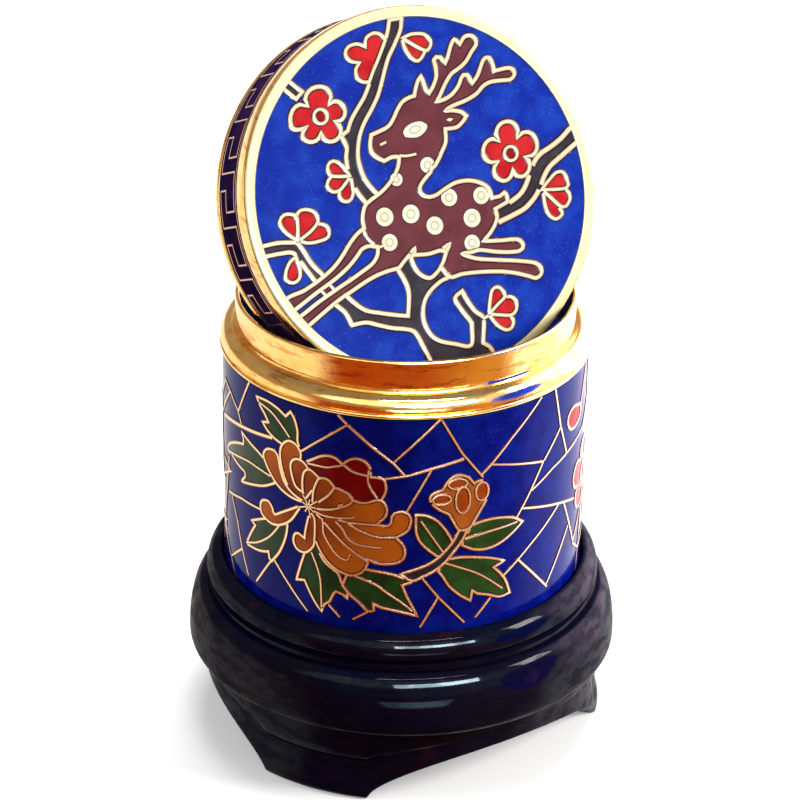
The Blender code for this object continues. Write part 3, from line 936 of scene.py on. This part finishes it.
# Spots on the deer: middle and radius, in pixels
SPOTS = (
    (384.5, 217, 9.2), (410.7, 214, 9.2), (434.7, 225.6, 9.0), (471.9, 218, 9.2), (449, 197.5, 8.6),
    (481, 195.5, 8.6), (472, 243, 8.3), (389.5, 242.5, 8.4), (396.2, 179.5, 6.6), (427.4, 165, 7.8),
)
PIXEL_ON_LID = 0.134                 # millimetres that a pixel covers on the lid
CREAM_OUTLINE = 0.11                 # width of the dark line round a cream figure
CREAM_CORE = 0.45                    # size of the faint line within it, as a share
CREAM_WIRE = 0.2                     # and this line's width, as a share of the lid's wire
STROKE_SHARE = 0.7                   # width of a line within a figure, as a share of the lid's wire
EAR = "446,120 449,118 453,119 450,121.5 446,120"
BUDS = (
    "385,40 381,35 374,33 366,38 365,47 / 357,44 348,47 345,54 350,61 359,63 / 355.5,70 357,78 363,82 "
    "369,82 / 373,71 378,59 385,40",
    "402,38 412,34 424,34.5 430.5,42 427,50.5 417,47 402,38",
    "402,38 404,47 411,58 418,61 423,55 422,49.5 402,38",
    "350,176 341,165 333,161 327.5,166 330,175 338,176.5 350,176",
    "350,177 338,176 330,178 327,186 332,191.5 340,190 350,177",
    "351,178 343,187 339,195 343,201 349,201 353,194 351,178",
    "298,241 285,232 279.5,222 284,215 292,214.5 297,219 298,241",
    "298.5,241 296,220 299,211.5 307,209.5 315,213 318,221 311,231 298.5,241",
    "299,241 312,231 320,224 328,228 328,237 318,241.5 308,243 299,241",
    "296,257 300,270 299,279 293,283 286,280 286,271 290,262 296,257",
    "489,314 490,300 492,290 497,287 502,290 505,296 497,305 489,314",
    "489,314 498,304 508,296.5 516,301 516,310 511,315 500,315 489,314",
    "489,315 505,316 513,319 512,327 506,330 497,325 489,315",
    "541,190 548,181 556,172.5 563,172.5 567,180 566,188 541,190",
    "543,191 556,190.5 566,190 570,197 566,206 560,206 552,199 543,191",
    "543,192 552,200 560,209 562,214 556,219 549,215 545,205 543,192",
)
BUD_STALK = "489,315 483,319"
# Each blossom: middle, then the tips of its five petals, in pixels
BLOSSOMS = (
    ((320.5, 116.5), ((320.5, 86.5), (344.3, 108.8), (337, 139.2), (304, 139.2), (291, 126))),
    ((510.5, 153.6), ((506, 121.5), (535, 138), (525, 175), (500, 180), (483, 150))),
)
VALLEY = 0.53                        # reach of the valleys between petals, as a share of the petals' reach
PETAL_FULLNESS = 0.60                # under 1 a petal is blunter
PETAL_STEPS = 6                      # points along each half of a petal
BLOSSOM_EYE = 0.95                   # radius of a blossom's eye
BUD_SHARE = 0.85                     # width of the wire round a bud, as a share of the lid's wire
EYE_SHARE = 0.8                      # and of that round a blossom's eye and along the stalk


def blossom(middle, tips):
    """Outline of a flower whose round petals reach to the tips, with valleys between them."""
    reaches = [tip - middle for tip in tips]
    angles = [math.atan2(reach.y, reach.x) for reach in reaches]
    outline = []
    for k, reach in enumerate(reaches):
        for step in range(-PETAL_STEPS, PETAL_STEPS):
            near = (k + (-1 if step < 0 else 1)) % len(tips)
            part = abs(step) / PETAL_STEPS
            turn = part * ((angles[near] - angles[k] + math.pi) % math.tau - math.pi) / 2
            valley = VALLEY * (reach.length + reaches[near].length) / 2
            swell = max(0.0, 1 - part ** 2) ** PETAL_FULLNESS
            outline.append(middle + polar(angles[k] + turn, valley + (reach.length - valley) * swell))
    return outline


def make_lid_picture():
    """Deer, plum tree, buds and blossoms on the lid: cells of enamel between pale wires."""
    cells, wires = Batch(), Batch()
    finishes = [SLATE, MAROON, CREAM, RED, CRIMSON, LID_BLUE]
    slate, maroon, cream, red, crimson, blue = range(len(finishes))

    def figure(outline, finish, rank, share=1.0, strokes=()):
        """A cell with its wire and the lines within it. What is laid later runs behind."""
        cell(cells, FACE, outline, finish, rank)
        wire(wires, FACE, outline, LID_WIRE * share)
        for text in strokes:
            wire(wires, FACE, drawn(FACE, text, closed=False), LID_WIRE * STROKE_SHARE, closed=False)
        wires.cover(outline)

    def pearl(outline):
        """A cream figure with a thin dark outline and a faint line round its middle."""
        middle = sum(outline, Vector((0.0, 0.0))) / len(outline)
        radius = sum((point - middle).length for point in outline) / len(outline)
        dark = [middle + (point - middle) * (1 + CREAM_OUTLINE / radius) for point in outline]
        cell(cells, FACE, dark, slate, 4)
        cell(cells, FACE, outline, cream, 6)
        core = [middle + (point - middle) * CREAM_CORE for point in outline]
        wire(wires, FACE, core, LID_WIRE * CREAM_WIRE)
        wires.cover(outline)

    for x, y, radius in SPOTS:
        pearl(ring(face_pixel(x, y), radius * PIXEL_ON_LID))
    pearl(drawn(FACE, EYE_SHAPE))
    cell(cells, FACE, drawn(FACE, EAR), cream, 4)
    for middle, tips in BLOSSOMS:
        middle = face_pixel(*middle)
        wire(wires, FACE, ring(middle, BLOSSOM_EYE), LID_WIRE * EYE_SHARE)
        cell(cells, FACE, ring(middle, BLOSSOM_EYE), crimson, 3)
        figure(blossom(middle, [face_pixel(*tip) for tip in tips]), red, 2)
    for text in BUDS:
        figure(drawn(FACE, text), red, 2, BUD_SHARE)
    wire(wires, FACE, drawn(FACE, BUD_STALK, closed=False), LID_WIRE * EYE_SHARE, closed=False)
    cell(cells, FACE, drawn(FACE, BETWEEN_BARS), maroon, 4)
    figure(drawn(FACE, BETWEEN_LEGS), blue, 3, strokes=LEG_BARS)
    figure(drawn(FACE, UNDER_BELLY), blue, 3)
    figure(drawn(FACE, DEER), maroon, 2, strokes=DEER_LINES)
    for text, share in zip(TREE + (TWIG,), TREE_WIRES):
        figure(drawn(FACE, text), slate, 1, share)
    cells.piece("lid_picture_enamels", finishes, "lid_enamel")
    wires.piece("lid_picture_wires", [WIRE_PALE_SHEEN], "gilt")


# The cup's picture, as wire lines in pixels of the photograph
LEAVES = (
    "255,396 266,401 276,408 284,416 / 289,411.5 / 293,419 296,431 296,441 299.5,451 / 290,441 281,444 / "
    "273,438 266,430 261,421.5 / 267,422 / 263,413 259,406 255,396",
    "240,431 249,443 258,453 265,463 273,483 / 262,485.5 250,484 240,481 / 244,476 243,471 / 236,463 "
    "230,453 / 226.5,448 229,443 236,442.5 242,444 / 242,438 240,431",
    "250,520 262,518.5 268,519 286,524 / 285,533 282,543 277,553 270,561 / 268,558 267,551 / 262,551 "
    "255,549 245,543 / 250,532 254,525 / 250,520",
    "303,553 299,565 295,579 / 303,579.5 / 309,593 315,604 320,611 / 323,604 328,601 331,595 334,591 / "
    "341,594 346,599 / 345,590 341,585 337,574 333,570 322,560 314,543 /",
    "363,569 378,572 392,575 405,580 411,582 / 400,585 / 405,597 411,608 415,616 / 403,613 390,610 "
    "378,607 371,603 / 372,610 / 366,611 357,602 348,594 341,585 / 345,575 /",
    "414,515 424,516 434,520 442,528 448,537 450,541 / 438,558 / 432,554 424,548 417,540 414,530 414,515",
    "461,540 470,526 480,521 495,517.5 510,517 520,521 / 510,532 498,542 485,548 472,549 460,545 /",
    "447,559 460,557 478,557 492,558 502,560 / 491,567 / 497,572 503,580 507,592 / 497,596 485,594 "
    "475,593 470,590 / 468,600 / 458,595 447,586 441,577 436,571 /",
)
VEINS = (
    "258,402 270,412 280,425 288,437", "230,452 245,460 257,468 269,476",
    "245,542 256,542 267,537 274,530 278,525", "310,552 316,568 319,582 320,607",
    "345,572 372,584 385,593 400,603 410,611", "419,521 428,534 441,552",
    "463,539 475,535 490,530 505,525 515,521", "443,563 460,568 475,573 488,580 500,588",
)
STEM = (
    "457,530 452,540 445,549 436,558 425,565 412,570 398,574 / 410,581 420,577 432,571 443,562 452,551 "
    "460,540 464,531 /"
)
BUD_FLOWER = (
    "441,490 445,483 451,477 458,475 466,477 472,483 / 479,480 485,484 488,490 484,499 478,510 474,517 "
    "468,527 461,530 456,529 451,521 447,514 / 438,510 431,505 428,499 431,494 441,490"
)
# Inner petals of the bud flower: middle and half width and height, in pixels
BUD_PETALS = ((461, 500, 7, 13), (440, 500, 9, 5), (480, 491, 6, 9), (456, 484, 9, 5))
CRIMSON_CROWN = (
    "303,462 311,459 319,456 327,455.5 334,458 341,464 / 347,460 354,458.5 362,461 368,468 369,477 / "
    "376,478 382,480 384,490 380,499 376,503 / 350,500 333,488 318,478 305,468 /"
)
CROWN_LINES = (
    "306,463 315,465 325,467 334,466 341,465", "342,465 350,471 358,474 367,476",
    "367,470 366,480 369,489 375,498",
)
FLOWER_HEART = (307, 506)
PETALS = (
    "305,503 290,497 278,487 270,475 264,462 262,454 265,449 271,449.5 276,455 279,470 283,482 291,493 "
    "305,503",
    "300,501 290,491 284,480 280,466 278.5,452 281,444 287,440.5 294,444 299,452 299,458 / 295,470 "
    "298,485 303,500",
    "300,491 295,487 292,481 289,468 290,461 295,458.5 302,462 306,467 / 304,480 300,491",
    "303,500 301,488 301,478 303,471 308,469 314,474 318,478 / 312,488 303,500",
    "311,500 312,490 315,482 318,478 325,478.5 330,483 333,488 331,493 327,495 320,500 311,504 /",
    "311,506 327,495 333,488 340,490 347,494 351,500 347,504.5 338,505 330,509 311,508 /",
    "351,500 362,503 376,500 382,503 385,510 383,517 377,522 374,525 350,524.5 330,521 311,508 / 330,509 "
    "347,504.5 351,500",
    "375,525 385,526 389,523 390,516 393,513 401,512 407,515 409,521 406,530 399,535 393,537.5 / 375,537 "
    "357,530 345,522 /",
    "394,538 401,545 403,552 401,559 394,563 384,564 375,563 368,560 355,554 345,546 335,536 / 322,518 "
    "345,522 363,534 394,538",
    "366,562 364,567 360,572 352,575 345,574 335,569 325,560 318,549 314,540 / 312,512 335,536 345,546 "
    "366,562",
    "308,512 304,530 303,538 / 297,533 293,534 292,541 296,549 304,552 311,547 313,540 313,518 308,512",
    "300,505 283,511 273,514 271,508 267,501 261,500 259,505 260,512 264,518 272,524 281,524 290,519 "
    "300,505",
)
HEART_RAYS = 9
HEART_REACH = (1.1, 1.7)             # lengths of the rays, by turns
HEART_RADIUS = 0.5
HEART_POINTS = 12
BUD_PETAL_POINTS = 18
# Widths of wires as shares of the cup's wire: rays, small cells, lines within figures, the long gold curve
RAY_SHARE = 0.6
SMALL_SHARE = 0.8
LINE_SHARE = 0.75
CURVE_SHARE = 1.3
# The petals from the front to the back, with the rank of the first and the drop to the next
PETAL_ORDER = (10, 11, 9, 7, 8, 6, 5, 4, 3, 2, 0, 1)
PETAL_RANK = 4.2
PETAL_DROP = 0.1
PETAL_LINES = (
    "313,511 325,516 345,518 352,517", "334,521 341,529 345,536.5 351,542 358,545 367,546.6 378,548",
    "320.5,518 321.5,524 322,533 327,543 333,552 340,558 346,559.5 348,555",
)
CRACKS = (
    "224,378 229,391 236.5,410 240,424", "249,379 237,411", "229,391 222,410", "223.5,456 229,470",
    "223.5,472.5 229,471", "228,456 227,471 226,488 225,500 224.6,512 225,524 226,536 230,556 241,548.5",
    "228,491 240,498 259,509", "231,495 236,520 241,549 247,575", "270,560 255,581",
    "273,560 296,597 306,611", "327,604 338,617", "296,453 313,443 345,425",
    "330,408 345,424 370,447 392,464 404,477", "439,419 391,463", "438,417 460,453 481,477",
    "382,479 406,476 430,469 462,459", "430,469 402,516", "543,391 510,437 490,463 479,475",
    "489,464 541,461", "558,427 540,463 525,497 512,521", "553,388 558,425 564,453",
    "579,428 564,453 550,468 528,491", "519,508 560,502 571,498", "557,502 527,545 500,576",
    "514,558 544,586", "561,502 570,541", "565,525 543,585", "577,505 570,541", "488,597 473,617",
    "420,578 436,597 462,622", "436,597 418,627", "367,611 351,619", "230,556 236,583",
)
GOLD_CURVE = "223.5,414 229,419 240,426 253,432 270,437.5"
DROP = "578,403 571,407 566,417 566,426 569,429 574,424 578,412 578,403"
# The red flower at the right edge, in millimetres round from the front and up from the cup's foot
SIDE_FLOWER = Vector((34.4, 17.4))
SIDE_PETALS = 5
SIDE_REACH = 5.2
SIDE_EYE = 1.3
# Cracks beyond what the photograph shows, from the right silhouette to where the pattern starts again
SIDE_CRACKS = (
    ((32.4, 24.5), (36.5, 28.0), (36.0, 36.0)), ((36.5, 28.0), (42.0, 26.5), (43.5, 25.2)),
    ((42.0, 26.5), (45.8, 31.2)), ((39.0, 17.5), (41.8, 17.3), (43.9, 15.6)),
    ((41.8, 17.3), (42.2, 21.0), (42.0, 26.5)), ((43.9, 18.0), (42.2, 21.0)),
    ((34.4, 12.6), (33.0, 6.0), (30.2, 8.1)), ((33.0, 6.0), (31.5, -1.0)),
    ((33.0, 6.0), (38.5, 8.0), (45.2, 9.4)), ((38.5, 8.0), (37.6, 13.2)), ((38.5, 8.0), (41.0, -1.0)),
    ((31.2, 28.9), (34.5, 36.0)),
)


def make_cup_picture():
    """Chrysanthemum spray, red flower and cracked-ice lines on the cup, carried on round the back."""
    cells, wires = Batch(), Batch()
    finishes = [GREEN, AMBER, PEACH, CRIMSON, SLATE, RED]
    green, amber, peach, crimson, slate, red = range(len(finishes))
    heart = cup_pixel(*FLOWER_HEART)

    def figure(outline, finish, rank, width=CUP_WIRE, focus=None):
        return outline, finish, rank, width, focus

    def shape(text, finish, rank, focus=None):
        return figure(drawn(CUP, text), finish, rank, focus=focus)

    def lines(texts, width=CUP_WIRE * LINE_SHARE):
        return [(drawn(CUP, text, closed=False), width) for text in texts]

    rays = []
    for k in range(HEART_RAYS):
        ray = polar(math.tau * k / HEART_RAYS, HEART_REACH[k % 2])
        rays.append((smooth([heart, heart + ray]), CUP_WIRE * RAY_SHARE))
    bud = []
    for x, y, wide, high in BUD_PETALS:
        middle = cup_pixel(x, y)
        half = (cup_pixel(x + wide, y) - middle).length, (cup_pixel(x, y + high) - middle).length
        circle = ring(Vector((0, 0)), 1.0, BUD_PETAL_POINTS)
        petal = [middle + Vector((p.x * half[0], p.y * half[1])) for p in circle]
        bud.append(figure(petal, amber, 4, CUP_WIRE * SMALL_SHARE, middle))
    side = SIDE_FLOWER + Vector((0.0, CUP_LOW.z))
    turns = [math.tau * k / SIDE_PETALS for k in range(SIDE_PETALS)]
    tips = [side + Vector((math.sin(turn), math.cos(turn))) * SIDE_REACH for turn in turns]
    cracks = lines([" / ".join(text.split()) for text in CRACKS], CRACK_WIRE)
    for corners in SIDE_CRACKS:
        points = [Vector((x, y + CUP_LOW.z)) for x, y in corners]
        cracks += [(smooth(list(pair)), CRACK_WIRE) for pair in zip(points, points[1:])]
    petals = [shape(PETALS[k], amber, PETAL_RANK - place * PETAL_DROP, heart)
              for place, k in enumerate(PETAL_ORDER)]
    side_flower = [figure(ring(side, SIDE_EYE), peach, 3), figure(blossom(side, tips[::-1]), red, 2)]
    # From the front to the back: what lies in front is laid first, each layer's lines before its figures
    layers = (
        (rays, [figure(ring(heart, HEART_RADIUS, HEART_POINTS), amber, 6, CUP_WIRE * SMALL_SHARE)]),
        (lines(PETAL_LINES), petals),
        (lines(CROWN_LINES), [shape(CRIMSON_CROWN, crimson, 1)]),
        ([], bud + [shape(BUD_FLOWER, peach, 3), shape(STEM, slate, 2.5)]),
        (lines(VEINS), [shape(text, green, 2) for text in reversed(LEAVES)]),
        ([], [shape(DROP, red, 2)] + side_flower),
        (lines([GOLD_CURVE], CUP_WIRE * CURVE_SHARE) + cracks, []),
    )
    for turn in (0, 1):
        away = Vector((math.pi * CUP_RADIUS * turn, 0.0))
        for strokes, figures in layers:
            for line, width in strokes:
                wire(wires, CUP, [point + away for point in line], width, closed=False)
            for outline, finish, rank, width, focus in figures:
                moved = [point + away for point in outline]
                cell(cells, CUP, moved, finish, rank, focus + away if focus else None)
                wire(wires, CUP, moved, width)
                wires.cover(moved)
    cells.piece("cup_picture_enamels", finishes, "enamel")
    wires.piece("cup_picture_wires", [WIRE_COPPER], "gilt")


# Key fret round the lid: one unit in parts of its pitch and of the band's height
FRET_COUNT = 22
FRET_WIRE = 0.30
FRET_UNIT = ((0.0, 0.14), (0.0, 0.86), (0.72, 0.86), (0.72, 0.42), (0.32, 0.42), (0.32, 0.14), (1.0, 0.14))
FRET_STEP = 0.8                      # spacing of points along the fret
FRET_EDGE_IN = 0.25                  # how far from the band's edges the two lines beside the fret run
FRET_EDGE_STEPS = 8
FRET_EDGE_SHARE = 0.7                # their width, as a share of the fret's


def fret_tree():
    """Geometry nodes that set the unit round the lid's axis, once for each repeat."""
    tree = bpy.data.node_groups.new("key fret", "GeometryNodeTree")
    for name, side, kind in (("Geometry", "INPUT", "Geometry"), ("Repeats", "INPUT", "Int"),
                             ("Wire", "INPUT", "Material"), ("Geometry", "OUTPUT", "Geometry")):
        tree.interface.new_socket(name, in_out=side, socket_type="NodeSocket" + kind)
    kinds = ("NodeGroupInput", "NodeGroupOutput", "GeometryNodePoints", "GeometryNodeInputIndex",
             "ShaderNodeMath", "ShaderNodeMath", "ShaderNodeCombineXYZ", "GeometryNodeInstanceOnPoints",
             "GeometryNodeRealizeInstances", "GeometryNodeSetMaterial")
    given, result, points, index, divide, times, turn, place, real, paint = map(tree.nodes.new, kinds)
    divide.operation, times.operation = "DIVIDE", "MULTIPLY"
    times.inputs[1].default_value = math.tau
    for source, output, target, socket in (
            (given, "Repeats", points, "Count"), (index, 0, divide, 0), (given, "Repeats", divide, 1),
            (divide, 0, times, 0), (times, 0, turn, "Z"), (points, 0, place, "Points"),
            (given, "Geometry", place, "Instance"), (turn, 0, place, "Rotation"), (place, 0, real, 0),
            (real, 0, paint, "Geometry"), (given, "Wire", paint, "Material"), (paint, 0, result, 0)):
        tree.links.new(source.outputs[output], target.inputs[socket])
    return tree


def make_fret():
    """The key-fret wires on the lid's band, as repeats of one unit."""
    low, high = LID_REAR_WIRE, LID_HEIGHT - LID_ROLL
    pitch = math.tau * CUP_RADIUS / FRET_COUNT
    corners = [Vector((x * pitch, low + y * (high - low))) for x, y in FRET_UNIT]
    path = [corners[0]]
    for pair in zip(corners, corners[1:]):
        path += smooth(list(pair), FRET_STEP)[1:]
    batch = Batch()
    lay(batch, path, False, FRET_WIRE, on_band)
    for level in (low + FRET_EDGE_IN, high - FRET_EDGE_IN):
        edge = [Vector((pitch * k / FRET_EDGE_STEPS, level)) for k in range(FRET_EDGE_STEPS + 1)]
        lay(batch, edge, False, FRET_WIRE * FRET_EDGE_SHARE, on_band)
    unit = set_out("fret_unit", batch.mesh("fret unit"))
    tree = fret_tree()
    repeats = unit.modifiers.new("repeats", "NODES")
    repeats.node_group = tree
    sockets = {item.name: item.identifier for item in tree.interface.items_tree if item.in_out == "INPUT"}
    repeats[sockets["Repeats"]] = FRET_COUNT
    repeats[sockets["Wire"]] = WIRE_DULL
    seen = bpy.context.evaluated_depsgraph_get()
    whole = bpy.data.meshes.new_from_object(unit.evaluated_get(seen))
    bpy.data.objects.remove(unit)
    to_metres, to_millimetres = (Matrix.Diagonal((scale, scale, scale, 1.0)) for scale in (MM, 1 / MM))
    whole.transform(to_metres @ LID @ to_millimetres)
    face_outward(whole)
    hand_over(set_out("lid_fret_wires", whole))


# Floor, lights and camera
FLOOR_SIZE = 6.0                     # in metres
FLOOR_TONE = 0.93
FLOOR_GLOW = 0.25
LIGHTS = (
    # name, azimuth from the front to the right and height in degrees, distance and size in metres, watts,
    # tint, whether it lights matt surfaces, and whether it is mirrored
    ("key softbox", 78, 29, 0.95, (0.30, 0.34), 10.5, (1.0, 0.98, 0.95), True, True),
    ("left softbox", -78, 30, 0.9, (0.3, 0.4), 2.2, (1.0, 0.98, 0.96), True, False),
    ("top softbox", 170, 72, 0.85, (0.5, 0.4), 6.5, (1.0, 1.0, 1.0), True, False),
    ("front window", 19, 19, 0.8, (0.62, 0.15), 34.0, (0.66, 0.88, 1.0), False, True),
    ("high strip", 14, 54, 0.8, (0.55, 0.015), 3.0, (0.85, 0.94, 1.0), False, True),
)
AIM = Vector((0.0, 0.0, 0.05))       # what the lights face, in metres
CLIP = (0.01, 20.0)                  # nearest and farthest that the camera sees, in metres


def make_floor():
    """A pale floor, kept out of the reflections and of the light that falls on the box."""
    mesh = bpy.data.meshes.new("floor")
    half = FLOOR_SIZE / 2
    corners = [(-half, -half, 0), (half, -half, 0), (half, half, 0), (-half, half, 0)]
    mesh.from_pydata(corners, [], [(0, 1, 2, 3)])
    floor = set_out("floor", mesh)
    finish = Finish("pale floor", roughness=0.9, Specular_IOR_Level=0.0, Emission_Strength=FLOOR_GLOW)
    finish.colour((FLOOR_TONE,) * 3)
    finish.feed(finish.shader.inputs["Emission Color"], (1.0, 1.0, 1.0))
    mesh.materials.append(finish.material)
    floor.visible_glossy = False
    floor.visible_diffuse = False
    floor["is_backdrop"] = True


def make_lights():
    """Softboxes, a front window and a high strip, all facing the box."""
    for name, azimuth, height, distance, size, watts, tint, matt, mirrored in LIGHTS:
        lamp = bpy.data.lights.new(name, "AREA")
        lamp.shape, lamp.size, lamp.size_y, lamp.energy, lamp.color = "RECTANGLE", *size, watts, tint
        light = set_out(name, lamp)
        way = direction(azimuth, height)
        light.location = AIM + way * distance
        light.visible_diffuse, light.visible_glossy = matt, mirrored
        light.rotation_euler = way.to_track_quat("Z", "Y").to_euler()


class Studio(Finish):
    """The surroundings as a world shader, with the nodes of a finish."""

    def __init__(self):
        world = bpy.data.worlds.new("studio")
        bpy.context.scene.world = world
        world.use_nodes = True
        self.tree = world.node_tree
        self.shader = self.tree.nodes["Background"]

    def where(self):
        """The direction that is looked in."""
        return self.node("ShaderNodeTexCoord")

    def towards(self, azimuth, height=0):
        """How nearly that direction is an azimuth and a height in degrees: 1 straight at it."""
        sockets = {0: self.where(), 1: direction(azimuth, height)}
        return self.node("ShaderNodeVectorMath", {"operation": "DOT_PRODUCT"}, sockets, out="Value")

    def patch(self, aim, edge):
        """A round patch at an azimuth and height: 0 outside its blurred edge, 1 within."""
        return self.steps(self.towards(*aim), *edge)

    def band(self, value, start, stop):
        """A band along a value, between two blurred edges."""
        return self.steps(value, *start) * (1 - self.steps(value, *stop))


TABLE_BROWN = (0.44, 0.085, 0.014)
TABLE_ORANGE = (0.74, 0.38, 0.10)
LEFT_PALE = (1.3, 1.22, 1.12)
RIGHT_PALE = (2.6, 2.5, 2.6)
BEHIND_PALE = (6.4, 5.0, 6.2)
BLUE_CLOTH = (0.02, 0.12, 3.0)
ROOM_LEFT = (0.42, 0.35, 0.28)
ROOM_RIGHT = (1.1, 1.05, 1.1)
ROOM_HIGH = (0.30, 0.30, 0.34)
FRONT_BRIGHT = (2.6, 2.6, 2.5)
WINDOW_LOW = (4.5, 6.0, 7.5)
MATT_HIGH = (0.34, 0.34, 0.35)
MATT_LOW = (0.07, 0.05, 0.05)
# Patches of the mirrored room: azimuth and height in degrees, and how nearly a ray points there at the edge
FRONT_PATCH = ((-4,), (0.55, 0.72))
TABLE_PATCH = ((12,), (0.16, 0.52))
BEHIND_PATCH = ((125, 15), (0.74, 0.95))
PANE_PATCH = ((8,), (0.93, 0.95))
CLOTH_PATCH = ((70, 1), (0.945, 0.960))
# Blurred edges between the parts of both rooms, as the sine of the height
CEILING = (0.45, 0.8)
FRONT_BAND = ((0.20, 0.30), (0.60, 0.75))
TABLE_EDGE = (-0.10, 0.02)
PANE_BAND = ((-0.25, -0.23), (-0.15, -0.13))
MATT_EDGE = (-0.2, 0.2)
# And from the left to the right, as the sine of the azimuth
ROOM_TURN = (-0.3, 0.8)
PALE_TURN = (-0.3, 0.3)
TABLE_TURN = (0.1, 0.9)


def make_surroundings():
    """A dim room for matt surfaces, and another that is mirrored.

    The mirrored one is pale low down at the sides and warm brown in front, with a bright band over the
    table, a pane in it, a small blue cloth at the right and a bright place behind at the right.
    """
    studio = Studio()
    height = studio.node("ShaderNodeSeparateXYZ", None, {"Vector": studio.where()}, out="Z")
    beside = studio.towards(90)
    upper = studio.mix(studio.steps(beside, *ROOM_TURN), ROOM_LEFT, ROOM_RIGHT)
    upper = studio.mix(studio.steps(height, *CEILING), upper, ROOM_HIGH)
    upper = studio.mix(studio.band(height, *FRONT_BAND) * studio.patch(*FRONT_PATCH), upper, FRONT_BRIGHT)
    sides = studio.mix(studio.steps(beside, *PALE_TURN), LEFT_PALE, RIGHT_PALE)
    table = studio.mix(studio.steps(beside, *TABLE_TURN), TABLE_BROWN, TABLE_ORANGE)
    lower = studio.mix(studio.patch(*TABLE_PATCH), sides, table)
    room = studio.mix(studio.steps(height, *TABLE_EDGE), lower, upper)
    room = studio.mix(studio.patch(*BEHIND_PATCH), room, BEHIND_PALE)
    room = studio.mix(studio.patch(*CLOTH_PATCH), room, BLUE_CLOTH)
    mirrored = studio.mix(studio.band(height, *PANE_BAND) * studio.patch(*PANE_PATCH), room, WINDOW_LOW)
    matt = studio.mix(studio.steps(height, *MATT_EDGE), MATT_LOW, MATT_HIGH)
    glossy = studio.node("ShaderNodeLightPath", out="Is Glossy Ray")
    studio.feed(studio.shader.inputs["Color"], studio.mix(glossy, matt, mirrored))


def make_camera():
    """The photograph's viewpoint."""
    lens = bpy.data.cameras.new("camera")
    lens.sensor_width = SENSOR_WIDTH
    lens.lens = FOCAL_PIXELS / FRAME_PIXELS * SENSOR_WIDTH
    lens.clip_start, lens.clip_end = CLIP
    camera = set_out("camera", lens)
    turn = Matrix((RIGHT, UP, -FORWARD)).transposed().to_4x4()
    camera.matrix_world = Matrix.Translation(EYE * MM) @ turn
    bpy.context.scene.camera = camera


make_stand()
make_cup()
make_collar()
make_lid()
make_lid_picture()
make_cup_picture()
make_fret()
make_floor()
make_lights()
make_surroundings()
make_camera()
bpy.context.scene.view_settings.view_transform = "Standard"

boxes = [[list(corner) for corner in box] for box in (CAD_BOX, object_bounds())]
